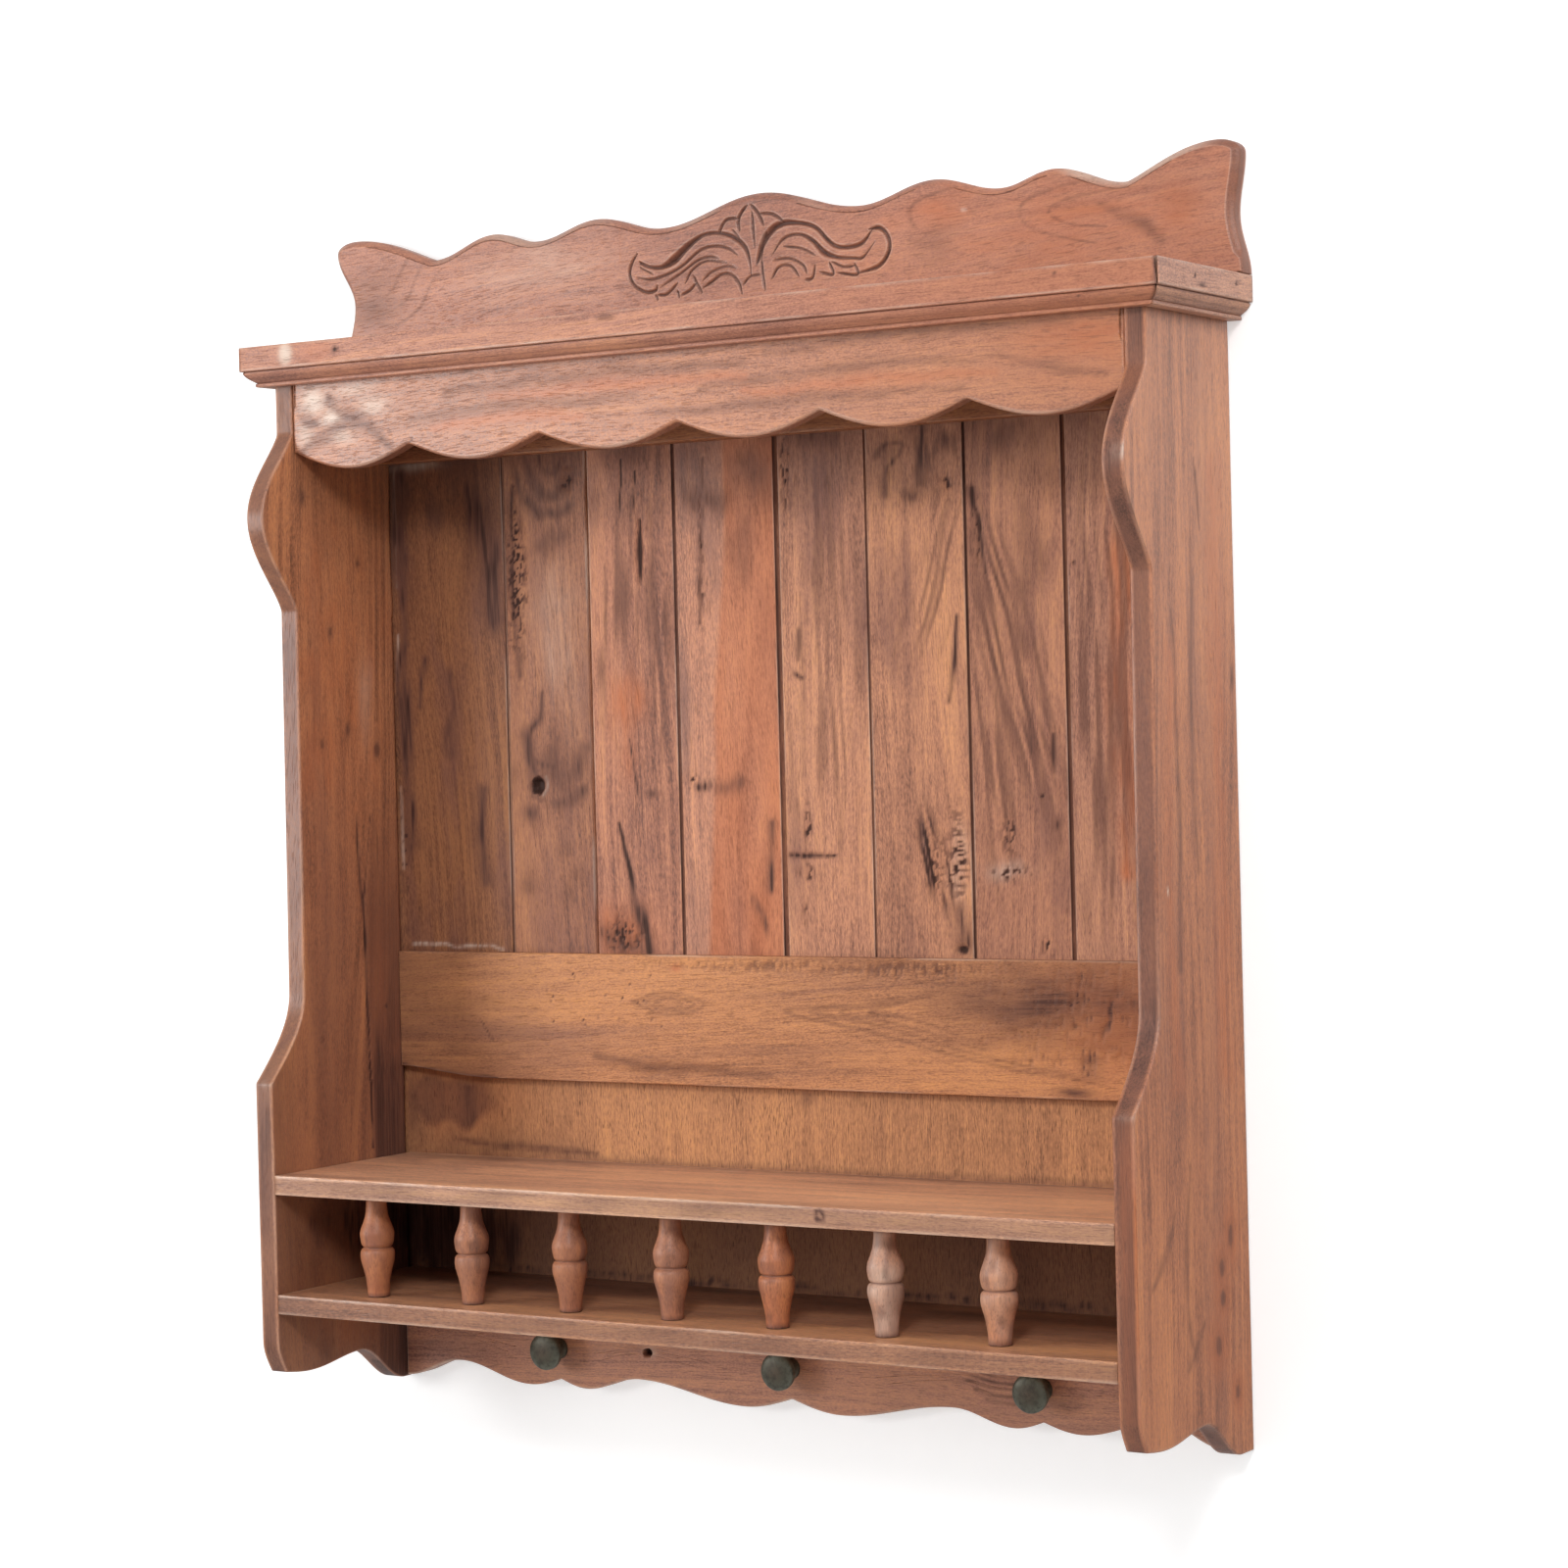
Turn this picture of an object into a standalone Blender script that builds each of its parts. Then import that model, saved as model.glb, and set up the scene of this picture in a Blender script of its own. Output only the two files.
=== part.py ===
"""Kitchen wall shelf: shaped sides, a boarded back, two shelves with turned spindles and a peg rail.

Heights run up from the front feet of the sides and depths out from the wall, which is the plane y = 0.
The origin lies on the back boards, level with the middle of the hanging rail.
"""
import math
from collections import defaultdict

import bmesh
import bpy
from mathutils import Matrix, Vector

# Driving dimensions in metres
GAP = 0.0003

WIDTH = 0.800
SIDE_H = 0.8172
SIDE_T = 0.0175
UPPER_DEPTH = 0.134
WAIST_FLARE = 0.0035
STEP_OUT = 0.0445
SHOULDER_OUT = 0.040
TOE_ROUND = 0.010
TOE_DROP = 0.0065
BACK_LOBE_DROP = 0.0315
BACK_LOBE_DEPTH = 0.019
NOTCH_DEPTH = 0.077
SHOULDER_FLANK = 1.25
SHOULDER_UNDERCUT = 0.65
SCOOP_HOLLOW = 1.0

FOOT_H = 0.0455
SHELF_T = 0.016
SPINDLE_H = 0.0812
STEP_RISE = 0.0745
SCOOP_RISE = 0.072
SHOULDER_LOW = 0.075
SHOULDER_HIGH = 0.071
NECK_RISE = 0.0535
TOP_T = 0.018

REBATE_W = 0.008
HOUSING_D = 0.006
HOUSING_STOP = 0.014
TENON_L = 0.006
TENON_SHOULDER = 0.012

BOARD_T = 0.008
INNER_BOARD_WIDTHS = (0.085, 0.0865, 0.098, 0.083, 0.089, 0.086)
BOARD_JOINT = 0.0024
TONGUE_GRIP = 0.004
TONGUE_T = 0.003
BOARD_LAP = 0.012
PLY_T = 0.005

RAIL_LIFT = 0.0663
RAIL_H = 0.1055
RAIL_T = 0.0144
HANGING_RAIL_H = 0.074
HANGING_RAIL_T = 0.018

VALANCE_T = 0.015
VALANCE_H = 0.069
VALANCE_LOBES = (0.93, 1.02, 1.03, 1.01, 0.99, 1.02)
VALANCE_LOBE_DROP = 0.016

CORNICE_H = 0.0325
FASCIA_H = 0.020
FASCIA_OUT = 0.0205
FASCIA_QUIRK = 0.002
CORNICE_FOOT_OUT = 0.010
CORNICE_FILLET = 0.003

CRESTING_T = 0.016
CRESTING_EAR_OUT = 0.0035
CRESTING_EAR_LEAN = 0.006
CRESTING_WAIST_IN = 0.008
CRESTING_CHAMFER = 0.0045
CRESTING_STOP = 0.014
CRESTING_WAVES = ((0.0, 0.101), (0.222, 0.082), (0.377, 0.0955),
                  (0.519, 0.083), (0.627, 0.093), (0.774, 0.077))
EAR_SHARE = 0.962
EAR_RISE = 0.1005
EAR_TIP_DROP = 0.0095
EAR_WAIST = 0.45
EAR_FLANK = 1.15

PEG_RAIL_T = 0.0175
PEG_SHIFT = 0.0055
PEG_CUSP = 0.593
PEG_WAVES = ((0.0, -0.0215), (0.118, -0.031), (0.387, -0.0168), (0.525, -0.0285),
             (PEG_CUSP, -0.022), (0.677, -0.029), (0.8625, -0.014), (1.0, -0.030))

SPINDLES = 7
SPINDLE_SETBACK = 0.029
SPINDLE_SHIFT = 0.014
SPINDLE_END_R = 0.0086
SPINDLE_BULB_R = 0.0139
SPINDLE_RING_R = 0.0107
SPINDLE_ANKLE = 0.14
SPINDLE_LOWER_BULB = 0.403
SPINDLE_RING = 0.516
SPINDLE_UPPER_BULB = 0.636
SPINDLE_NECK = 0.83
SPINDLE_TENON_R = 0.005
SPINDLE_TENON_L = 0.008

KNOB_HEIGHT = 0.0035
KNOB_R = 0.015
KNOB_OUT = 0.0235
KNOB_NECK_R = 0.0068
KNOB_FOOT_R = 0.0088
KNOB_FACE_R = 0.0052
KNOB_NECK_OUT = 0.30
KNOB_BACK_OUT = 0.65
KNOB_RIM_OUT = 0.80
KNOB_DOME = 0.8

SCREW_R = 0.0017
SCREW_HEAD_R = 0.0034
SCREW_HEAD_H = 0.0026
TOP_SCREW_L = 0.040
TOP_SCREW_PAST_NAIL = 0.015
CRESTING_SCREW_L = 0.045
CRESTING_SCREW_SHARES = (-0.70, 0.0, 0.70)
NAIL_R = 0.001
NAIL_HEAD_R = 0.0017
NAIL_HEAD_H = 0.001
NAIL_BITE = 0.012
NAIL_SHARES_FRONT = (-0.93, 0.0, 0.93)
NAIL_SHARES_RETURN = (0.2, 0.72)

HANGER_W = 0.018
HANGER_H = 0.050
HANGER_T = 0.0015
HANGER_SCREW_PITCH = 0.037
HANGER_BITE = 0.010
KEYHOLE_R = 0.0045
KEYHOLE_SLOT_R = 0.0023
KEYHOLE_RISE = 0.009
POCKET_MARGIN = 0.002

# Levels and depths that follow from the driving dimensions
INNER = WIDTH / 2 - SIDE_T
LOWER_TOP = FOOT_H + SHELF_T
UPPER_UNDER = LOWER_TOP + SPINDLE_H
UPPER_TOP = UPPER_UNDER + SHELF_T
STEP_TOP = UPPER_TOP + STEP_RISE
SCOOP_TOP = STEP_TOP + SCOOP_RISE
NECK_FOOT = SIDE_H - NECK_RISE
SHOULDER = NECK_FOOT - SHOULDER_HIGH
WAIST_TOP = SHOULDER - SHOULDER_LOW
TOP = SIDE_H + TOP_T
TOE_TOP = FOOT_H / 2
SHOULDER_DEPTH = UPPER_DEPTH + SHOULDER_OUT
WAIST_DEPTH = UPPER_DEPTH + WAIST_FLARE
LOWER_DEPTH = WAIST_DEPTH + STEP_OUT
RAIL_FOOT = UPPER_TOP + RAIL_LIFT
RAIL_TOP = RAIL_FOOT + RAIL_H
HANGING_RAIL_FOOT = SIDE_H - HANGING_RAIL_H
HANGING_RAIL_BACK = BOARD_T + GAP
HANGING_RAIL_FRONT = HANGING_RAIL_BACK + HANGING_RAIL_T
MOUNT_HEIGHT = SIDE_H - HANGING_RAIL_H / 2
VALANCE_CUSP = SIDE_H - VALANCE_H
VALANCE_BACK = UPPER_DEPTH - VALANCE_T
REBATE_D = BOARD_T + GAP
LAP_EDGE = INNER + REBATE_W - GAP
CORNICE_FOOT = TOP - CORNICE_H
CORNICE_HALF = WIDTH / 2 + FASCIA_OUT
KNOB_SCREW_L = PEG_RAIL_T + KNOB_OUT / 2
HANGER_SCREW_L = HANGER_T + BOARD_T + HANGER_BITE

ROUND_STEPS = 8
TURNED_STEPS = 16
CURVE_STEPS = 8
TURNED_CURVE_STEPS = 3

for leftover in list(bpy.data.objects):
    bpy.data.objects.remove(leftover)

shelf = bpy.data.objects.new("shelf", None)
shelf.location = (0, 0, -MOUNT_HEIGHT)
bpy.context.scene.collection.objects.link(shelf)


def finish(name, colour, roughness, metallic=0.0):
    """One Principled material with a plain colour."""
    material = bpy.data.materials.new(name)
    material.use_nodes = True
    shader = material.node_tree.nodes["Principled BSDF"]
    shader.inputs["Base Color"].default_value = (*colour, 1)
    shader.inputs["Roughness"].default_value = roughness
    shader.inputs["Metallic"].default_value = metallic
    return material


red_brown = finish("red_brown_hardwood", (0.30, 0.13, 0.065), 0.42)
board_brown = finish("board_hardwood", (0.24, 0.115, 0.055), 0.5)
tan_ply = finish("tan_plywood", (0.36, 0.21, 0.10), 0.6)
turned_brown = finish("turned_hardwood", (0.31, 0.13, 0.06), 0.35)
patina = finish("green_bronze", (0.07, 0.075, 0.05), 0.45, 0.8)
dark_steel = finish("dark_steel", (0.16, 0.15, 0.14), 0.45, 0.9)


def add_object(name, solid, material):
    """Link a finished solid to the shelf as an object of its own."""
    bmesh.ops.recalc_face_normals(solid, faces=solid.faces)
    mesh = bpy.data.meshes.new(name)
    solid.to_mesh(mesh)
    solid.free()
    if material:
        mesh.materials.append(material)
    piece = bpy.data.objects.new(name, mesh)
    piece.parent = shelf
    bpy.context.scene.collection.objects.link(piece)
    return piece


def carve(piece, solids):
    """Take solids that lie apart from each other out of a piece."""
    joined = bmesh.new()
    for solid in solids:
        part_mesh = bpy.data.meshes.new("cut")
        bmesh.ops.recalc_face_normals(solid, faces=solid.faces)
        solid.to_mesh(part_mesh)
        solid.free()
        joined.from_mesh(part_mesh)
        bpy.data.meshes.remove(part_mesh)
    cutter = add_object(f"{piece.name}_cut_{len(piece.modifiers) + 1}", joined, None)
    cutter.hide_render = True
    cutter.display_type = "WIRE"
    cut = piece.modifiers.new("cut", "BOOLEAN")
    cut.operation = "DIFFERENCE"
    cut.solver = "EXACT"
    cut.object = cutter


def strip(*sections):
    """A closed solid through sections with the same number of points, each placed in space."""
    solid = bmesh.new()
    loops = [[solid.verts.new(point) for point in section] for section in sections]
    solid.faces.new(loops[0])
    solid.faces.new(loops[-1])
    for near, far in zip(loops, loops[1:]):
        for i in range(len(near)):
            j = (i + 1) % len(near)
            solid.faces.new((near[i], near[j], far[j], far[i]))
    return solid


def prism(outline, axis, low, high):
    """An outline given across an axis and drawn out along it; X takes (y, z), Y (x, z) and Z (x, y)."""
    slot = "XYZ".index(axis)
    ends = []
    for level in (low, high):
        points = [list(pair) for pair in outline]
        for point in points:
            point.insert(slot, level)
        ends.append(points)
    return strip(*ends)


def block(low, high):
    """A box from its lowest to its highest corner."""
    corners = [(low[0], low[1]), (high[0], low[1]), (high[0], high[1]), (low[0], high[1])]
    return prism(corners, "Z", low[2], high[2])


def turned(profile, count):
    """A solid of revolution about +Z, from a (radius, height) profile that starts and ends on the axis."""
    solid = bmesh.new()
    rings = []
    for radius, height in profile:
        if radius == 0:
            rings.append([solid.verts.new((0, 0, height))])
            continue
        ring = []
        for i in range(count):
            angle = 2 * math.pi * i / count
            ring.append(solid.verts.new((radius * math.cos(angle), radius * math.sin(angle), height)))
        rings.append(ring)
    for lower, upper in zip(rings, rings[1:]):
        for i in range(count):
            j = (i + 1) % count
            below = [lower[i % len(lower)], lower[j % len(lower)]]
            above = [upper[j % len(upper)], upper[i % len(upper)]]
            solid.faces.new(list(dict.fromkeys(below + above)))
    return solid


def aim(solid, point, direction):
    """Stand a turned solid on a point with its axis along a direction."""
    turn = Vector((0, 0, 1)).rotation_difference(Vector(direction)).to_matrix().to_4x4()
    bmesh.ops.transform(solid, matrix=Matrix.Translation(point) @ turn, verts=solid.verts)
    return solid


def smooth_rounds(piece):
    """Shade a turned piece smooth, with its square edges kept."""
    piece.data.shade_smooth()
    piece.data.set_sharp_from_angle(angle=math.radians(40))


def wave(u):
    """Even swell from 0 to 1, level at both ends."""
    return (1 - math.cos(math.pi * u)) / 2


def sweep(u):
    """Quick rise from a sharp corner, level at the far end."""
    return math.sin(math.pi * u / 2)


def curve(start, end, shape, power=1.0, steps=CURVE_STEPS):
    """Points from start to end, with the first coordinate even and the second led by a shape."""
    points = []
    for i in range(steps + 1):
        u = i / steps
        share = shape(u) ** power
        points.append((start[0] + (end[0] - start[0]) * u, start[1] + (end[1] - start[1]) * share))
    return points


def upright(start, end, shape, power=1.0, steps=CURVE_STEPS):
    """Points from start to end, with the second coordinate even and the first led by a shape."""
    return [(b, a) for a, b in curve(start[::-1], end[::-1], shape, power, steps)]


def quarter(start, end):
    """A quarter of an ellipse that leaves its start level and reaches its end upright."""
    points = []
    for i in range(CURVE_STEPS + 1):
        angle = math.pi / 2 * i / CURVE_STEPS
        reach, fall = math.sin(angle), 1 - math.cos(angle)
        points.append((start[0] + (end[0] - start[0]) * reach, start[1] + (end[1] - start[1]) * fall))
    return points


def chain(*stretches):
    """Join stretches of an outline and drop points that repeat."""
    points = []
    for stretch in stretches:
        for point in stretch:
            if not points or math.dist(points[-1], point) > 1e-6:
                points.append(point)
    if math.dist(points[0], points[-1]) < 1e-6:
        points.pop()
    return points


def both_halves(half):
    """A whole outline from a function that gives each half, outwards from the middle, for hand -1 or 1."""
    left = [(-x, z) for x, z in reversed(half(-1))]
    return chain(left, half(1))


# Side panels: shouldered boards with a rebate for the back and housings for shelves and rails
def side_outline():
    """Front edge from the top down, then the foot from front to back, as (y, height)."""
    neck = [(UPPER_DEPTH, SIDE_H - GAP), (UPPER_DEPTH, NECK_FOOT)]
    brow = upright((UPPER_DEPTH, NECK_FOOT), (SHOULDER_DEPTH, SHOULDER), sweep, SHOULDER_FLANK)
    cheek = upright((UPPER_DEPTH, WAIST_TOP), (SHOULDER_DEPTH, SHOULDER), wave, SHOULDER_UNDERCUT)
    scoop = upright((LOWER_DEPTH, STEP_TOP), (WAIST_DEPTH, SCOOP_TOP), sweep, SCOOP_HOLLOW)[::-1]
    toe_front = (LOWER_DEPTH, TOE_TOP)
    toe = upright((LOWER_DEPTH - TOE_ROUND, -TOE_DROP / 2), toe_front, sweep)
    sole_low = ((LOWER_DEPTH + NOTCH_DEPTH) / 2 + TOE_ROUND, -TOE_DROP)
    sole = curve((LOWER_DEPTH - TOE_ROUND, -TOE_DROP / 2), sole_low, sweep)
    notch = curve(sole_low, (NOTCH_DEPTH, 0), wave)
    lobe = curve((NOTCH_DEPTH, 0), (BACK_LOBE_DEPTH, -BACK_LOBE_DROP), wave)
    back = [(0, -BACK_LOBE_DROP), (0, SIDE_H - GAP)]
    points = chain(neck, brow, cheek[::-1], scoop, toe[::-1], sole, notch, lobe, back)
    return [(-depth, height) for depth, height in points]


def shelf_housing(inner, outer, under):
    """Stopped housing for a shelf end, open into the rebate at the back."""
    low = (min(inner, outer), -(LOWER_DEPTH - HOUSING_STOP) - GAP, under - GAP)
    high = (max(inner, outer), -REBATE_D + GAP, under + SHELF_T + GAP)
    return block(low, high)


def tenon_span(foot, top):
    """Lower and upper edge of the stub tenon on a rail."""
    return foot + TENON_SHOULDER, top - TENON_SHOULDER


def mortise(inner, outer, depths, span):
    """Blind mortise for a stub tenon."""
    low = (min(inner, outer), -depths[1] - GAP, span[0] - GAP)
    high = (max(inner, outer), -depths[0] + GAP, span[1] + GAP)
    return block(low, high)


sides = {}
for side_name, hand in (("side_panel_left", -1), ("side_panel_right", 1)):
    faces = sorted((hand * INNER, hand * WIDTH / 2))
    panel = add_object(side_name, prism(side_outline(), "X", *faces), red_brown)
    inside = hand * (INNER - GAP)
    lap = hand * (INNER + REBATE_W)
    rebate_low = (min(inside, lap), -REBATE_D, -2 * BACK_LOBE_DROP)
    rebate_high = (max(inside, lap), REBATE_D, SIDE_H + REBATE_D)
    carve(panel, [block(rebate_low, rebate_high)])
    housing = hand * (INNER + HOUSING_D)
    pocket = hand * (INNER + TENON_L)
    hanging_depths = (HANGING_RAIL_BACK, HANGING_RAIL_FRONT)
    carve(panel, [
        shelf_housing(inside, housing, FOOT_H),
        shelf_housing(inside, housing, UPPER_UNDER),
        mortise(inside, pocket, hanging_depths, tenon_span(HANGING_RAIL_FOOT, SIDE_H)),
        mortise(inside, pocket, (VALANCE_BACK, UPPER_DEPTH - GAP), tenon_span(VALANCE_CUSP, SIDE_H)),
    ])
    sides[hand] = panel

# Shelves: boards with tongues that stop short of the front edge
def shelf_outline():
    """Plan of a shelf as (x, y)."""
    edge = INNER - GAP
    tongue = INNER + HOUSING_D - GAP
    stop = LOWER_DEPTH - HOUSING_STOP
    back = PLY_T + GAP
    tongue_back = REBATE_D + GAP
    half = [(edge, -LOWER_DEPTH), (edge, -stop), (tongue, -stop), (tongue, -tongue_back),
            (edge, -tongue_back), (edge, -back)]
    return half + [(-x, y) for x, y in reversed(half)]


lower_shelf = add_object("lower_shelf", prism(shelf_outline(), "Z", FOOT_H, LOWER_TOP), red_brown)
upper_shelf = add_object("upper_shelf", prism(shelf_outline(), "Z", UPPER_UNDER, UPPER_TOP), red_brown)

# Spindles: turned double vases with round tenons in both shelves
def spindle_profile():
    """Tenon, foot, two bulbs with a ring between them, and tenon, from the bottom up."""
    ankle = (SPINDLE_END_R, SPINDLE_ANKLE * SPINDLE_H)
    lower_bulb = (SPINDLE_BULB_R, SPINDLE_LOWER_BULB * SPINDLE_H)
    ring = (SPINDLE_RING_R, SPINDLE_RING * SPINDLE_H)
    upper_bulb = (SPINDLE_BULB_R, SPINDLE_UPPER_BULB * SPINDLE_H)
    neck = (SPINDLE_END_R, SPINDLE_NECK * SPINDLE_H)
    steps = TURNED_CURVE_STEPS
    body = chain([(SPINDLE_END_R, GAP)],
                 upright(ankle, lower_bulb, wave, 1.0, steps),
                 upright(ring, lower_bulb, sweep, 1.0, steps)[::-1],
                 upright(ring, upper_bulb, sweep, 1.0, steps),
                 upright(neck, upper_bulb, wave, 1.0, steps)[::-1],
                 [(SPINDLE_END_R, SPINDLE_H - GAP)])
    foot, head = -SPINDLE_TENON_L, SPINDLE_H + SPINDLE_TENON_L
    tenon = SPINDLE_TENON_R
    return ([(0, foot), (tenon, foot), (tenon, GAP)] + body
            + [(tenon, SPINDLE_H - GAP), (tenon, head), (0, head)])


spindle_y = -(LOWER_DEPTH - SPINDLE_SETBACK)
sockets = {lower_shelf: [], upper_shelf: []}
for i in range(SPINDLES):
    spindle_x = -INNER + 2 * INNER * (i + 1) / (SPINDLES + 1) - SPINDLE_SHIFT
    spot = (spindle_x, spindle_y, LOWER_TOP)
    turning = turned(spindle_profile(), TURNED_STEPS)
    smooth_rounds(add_object(f"spindle_{i + 1}", aim(turning, spot, (0, 0, 1)), turned_brown))
    socket_r = SPINDLE_TENON_R + GAP
    socket_d = SPINDLE_TENON_L + GAP
    socket = [(0, 0), (socket_r, 0), (socket_r, 2 * socket_d), (0, 2 * socket_d)]
    low_spot = (spindle_x, spindle_y, LOWER_TOP - socket_d)
    high_spot = (spindle_x, spindle_y, UPPER_UNDER - socket_d)
    sockets[lower_shelf].append(aim(turned(socket, TURNED_STEPS), low_spot, (0, 0, 1)))
    sockets[upper_shelf].append(aim(turned(socket, TURNED_STEPS), high_spot, (0, 0, 1)))
for board, solids in sockets.items():
    carve(board, solids)

# Plywood lower back, lapped into the sides and behind the back rail
ply_low = (-LAP_EDGE, -PLY_T, FOOT_H)
ply_high = (LAP_EDGE, 0, RAIL_FOOT + BOARD_LAP)
add_object("plywood_back", block(ply_low, ply_high), tan_ply)

# Back rail: a proud board with rebates behind for the back boards above and the plywood below
def rail_section():
    """Section of the back rail as (y, height)."""
    front, board, ply = -RAIL_T, -(BOARD_T + GAP), -(PLY_T + GAP)
    above, below = RAIL_TOP - BOARD_LAP - GAP, RAIL_FOOT + BOARD_LAP + GAP
    return [(front, RAIL_FOOT), (ply, RAIL_FOOT), (ply, below), (0, below),
            (0, above), (board, above), (board, RAIL_TOP), (front, RAIL_TOP)]


def lap_ends(thickness, foot, top):
    """Cuts that leave a rail's back half to lap into the rebates of the sides."""
    cuts = []
    for hand in (-1, 1):
        edges = sorted((hand * (INNER - GAP), hand * (INNER + 2 * REBATE_W)))
        low = (edges[0], -2 * thickness, foot - BOARD_LAP)
        high = (edges[1], -BOARD_T, top + BOARD_LAP)
        cuts.append(block(low, high))
    return cuts


back_rail = add_object("back_rail", prism(rail_section(), "X", -LAP_EDGE, LAP_EDGE), red_brown)
carve(back_rail, lap_ends(RAIL_T, RAIL_FOOT, RAIL_TOP))

# Back boards: tongued and grooved, between the sides and behind both rails
board_foot = RAIL_TOP - BOARD_LAP
outer_board = INNER - sum(INNER_BOARD_WIDTHS) / 2
joints = [-sum(INNER_BOARD_WIDTHS) / 2]
for width in INNER_BOARD_WIDTHS:
    joints.append(joints[-1] + width)
joints = [-INNER] + joints + [INNER]


def board_outline(left, right, grooved, tongued):
    """Plan of one back board as (x, y), with a groove on its left and a tongue on its right."""
    tongue_low, tongue_high = -(BOARD_T + TONGUE_T) / 2, -(BOARD_T - TONGUE_T) / 2
    outline = [(left, -BOARD_T), (right, -BOARD_T)]
    if tongued:
        reach = right + BOARD_JOINT + TONGUE_GRIP
        outline += [(right, tongue_low), (reach, tongue_low), (reach, tongue_high), (right, tongue_high)]
    outline += [(right, 0), (left, 0)]
    if grooved:
        bed = left + TONGUE_GRIP + GAP
        slot_low, slot_high = tongue_low - GAP, tongue_high + GAP
        outline += [(left, slot_high), (bed, slot_high), (bed, slot_low), (left, slot_low)]
    return outline


back_boards = []
board_count = len(joints) - 1
for i in range(board_count):
    left = -LAP_EDGE if i == 0 else joints[i] + BOARD_JOINT / 2
    right = LAP_EDGE if i == board_count - 1 else joints[i + 1] - BOARD_JOINT / 2
    outline = board_outline(left, right, i > 0, i < board_count - 1)
    solid = prism(outline, "Z", board_foot, SIDE_H - GAP)
    back_boards.append(add_object(f"back_board_{i + 1}", solid, board_brown))

# Hanging rail in front of the boards, with stub tenons in the sides
def tenoned(span):
    """End of a rail outline with its stub tenon, from the top down, as (x, height)."""
    shoulder = INNER - GAP
    tip = INNER + TENON_L - GAP
    return [(shoulder, span[1]), (tip, span[1]), (tip, span[0]), (shoulder, span[0])]


hanging_end = tenoned(tenon_span(HANGING_RAIL_FOOT, SIDE_H))
hanging_half = [(INNER - GAP, SIDE_H - GAP)] + hanging_end + [(INNER - GAP, HANGING_RAIL_FOOT)]
hanging_outline = hanging_half + [(-x, z) for x, z in reversed(hanging_half)]
hanging_solid = prism(hanging_outline, "Y", -HANGING_RAIL_FRONT, -HANGING_RAIL_BACK)
hanging_rail = add_object("hanging_rail", hanging_solid, board_brown)

# Valance: a scalloped board with stub tenons in the sides
def valance_outline():
    """Right end from the top down, the scallops from right to left, then the left end."""
    edge = INNER - GAP
    pitch = 2 * edge / sum(VALANCE_LOBES)
    scallops = []
    start = edge
    for lobe in reversed(VALANCE_LOBES):
        for i in range(CURVE_STEPS + 1):
            u = i / CURVE_STEPS
            drop = VALANCE_LOBE_DROP * math.sin(math.pi * u)
            scallops.append((start - lobe * pitch * u, VALANCE_CUSP - drop))
        start -= lobe * pitch
    end = tenoned(tenon_span(VALANCE_CUSP, SIDE_H))
    right = [(edge, SIDE_H - GAP)] + end
    return chain(right, scallops, [(-x, z) for x, z in reversed(right)])


valance_solid = prism(valance_outline(), "Y", -UPPER_DEPTH, -VALANCE_BACK)
add_object("valance", valance_solid, red_brown)

# Top board on the sides, rails and valance
top_solid = block((-WIDTH / 2, -UPPER_DEPTH, SIDE_H), (WIDTH / 2, 0, TOP))
top_board = add_object("top_board", top_solid, red_brown)

# Cornice: a fascia over an ovolo moulding, mitred at the front corners
def cornice_section():
    """Section as (distance out from the carcass, height)."""
    fascia_foot = TOP - FASCIA_H
    ovolo_out = FASCIA_OUT - FASCIA_QUIRK
    ovolo_foot = CORNICE_FOOT + CORNICE_FILLET
    steps = TURNED_CURVE_STEPS
    ovolo = upright((CORNICE_FOOT_OUT, ovolo_foot), (ovolo_out, fascia_foot), sweep, 1.0, steps)
    return chain([(GAP, TOP), (GAP, CORNICE_FOOT), (CORNICE_FOOT_OUT, CORNICE_FOOT)], ovolo,
                 [(FASCIA_OUT, fascia_foot), (FASCIA_OUT, TOP)])


section = cornice_section()
mitre = [(WIDTH / 2 + out, -(UPPER_DEPTH + out), height) for out, height in section]
front_left = [(-x + GAP, y, z) for x, y, z in mitre]
front_right = [(x - GAP, y, z) for x, y, z in mitre]
cornice_front = add_object("cornice_front", strip(front_left, front_right), red_brown)
returns = {}
for return_name, hand in (("cornice_left", -1), ("cornice_right", 1)):
    corner = [(hand * x, y + GAP, z) for x, y, z in mitre]
    wall_end = [(hand * x, 0, z) for x, y, z in mitre]
    returns[hand] = add_object(return_name, strip(corner, wall_end), red_brown)

# Cresting: a waved board with eared ends on the back of the top board
def cresting_half(hand):
    """Top edge from the middle outwards, round the ear and down to the foot; both ears lean to the left."""
    half = CORNICE_HALF
    lean = -hand * CRESTING_EAR_LEAN
    crests = [(share * half, TOP + rise) for share, rise in CRESTING_WAVES]
    runs = [curve(a, b, wave) for a, b in zip(crests, crests[1:])]
    ear_top = (EAR_SHARE * half + lean, TOP + EAR_RISE)
    tip = (half + CRESTING_EAR_OUT + lean, ear_top[1] - EAR_TIP_DROP)
    waist = (half - CRESTING_WAIST_IN, TOP + EAR_RISE * EAR_WAIST)
    foot = (half, TOP + GAP)
    return chain(*runs, curve(crests[-1], ear_top, sweep, EAR_FLANK), quarter(ear_top, tip),
                 upright(tip, waist, wave), upright(waist, foot, wave))


def drawn_in(outline, distance):
    """The outline moved in square to itself, except by the feet, where the chamfer stops."""
    points = []
    for i, (x, z) in enumerate(outline):
        before, after = outline[max(i - 1, 0)], outline[min(i + 1, len(outline) - 1)]
        run, rise = after[0] - before[0], after[1] - before[1]
        inwards = distance / math.hypot(run, rise) if z > TOP + CRESTING_STOP else 0
        points.append((x + inwards * rise, z - inwards * run))
    return points


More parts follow.
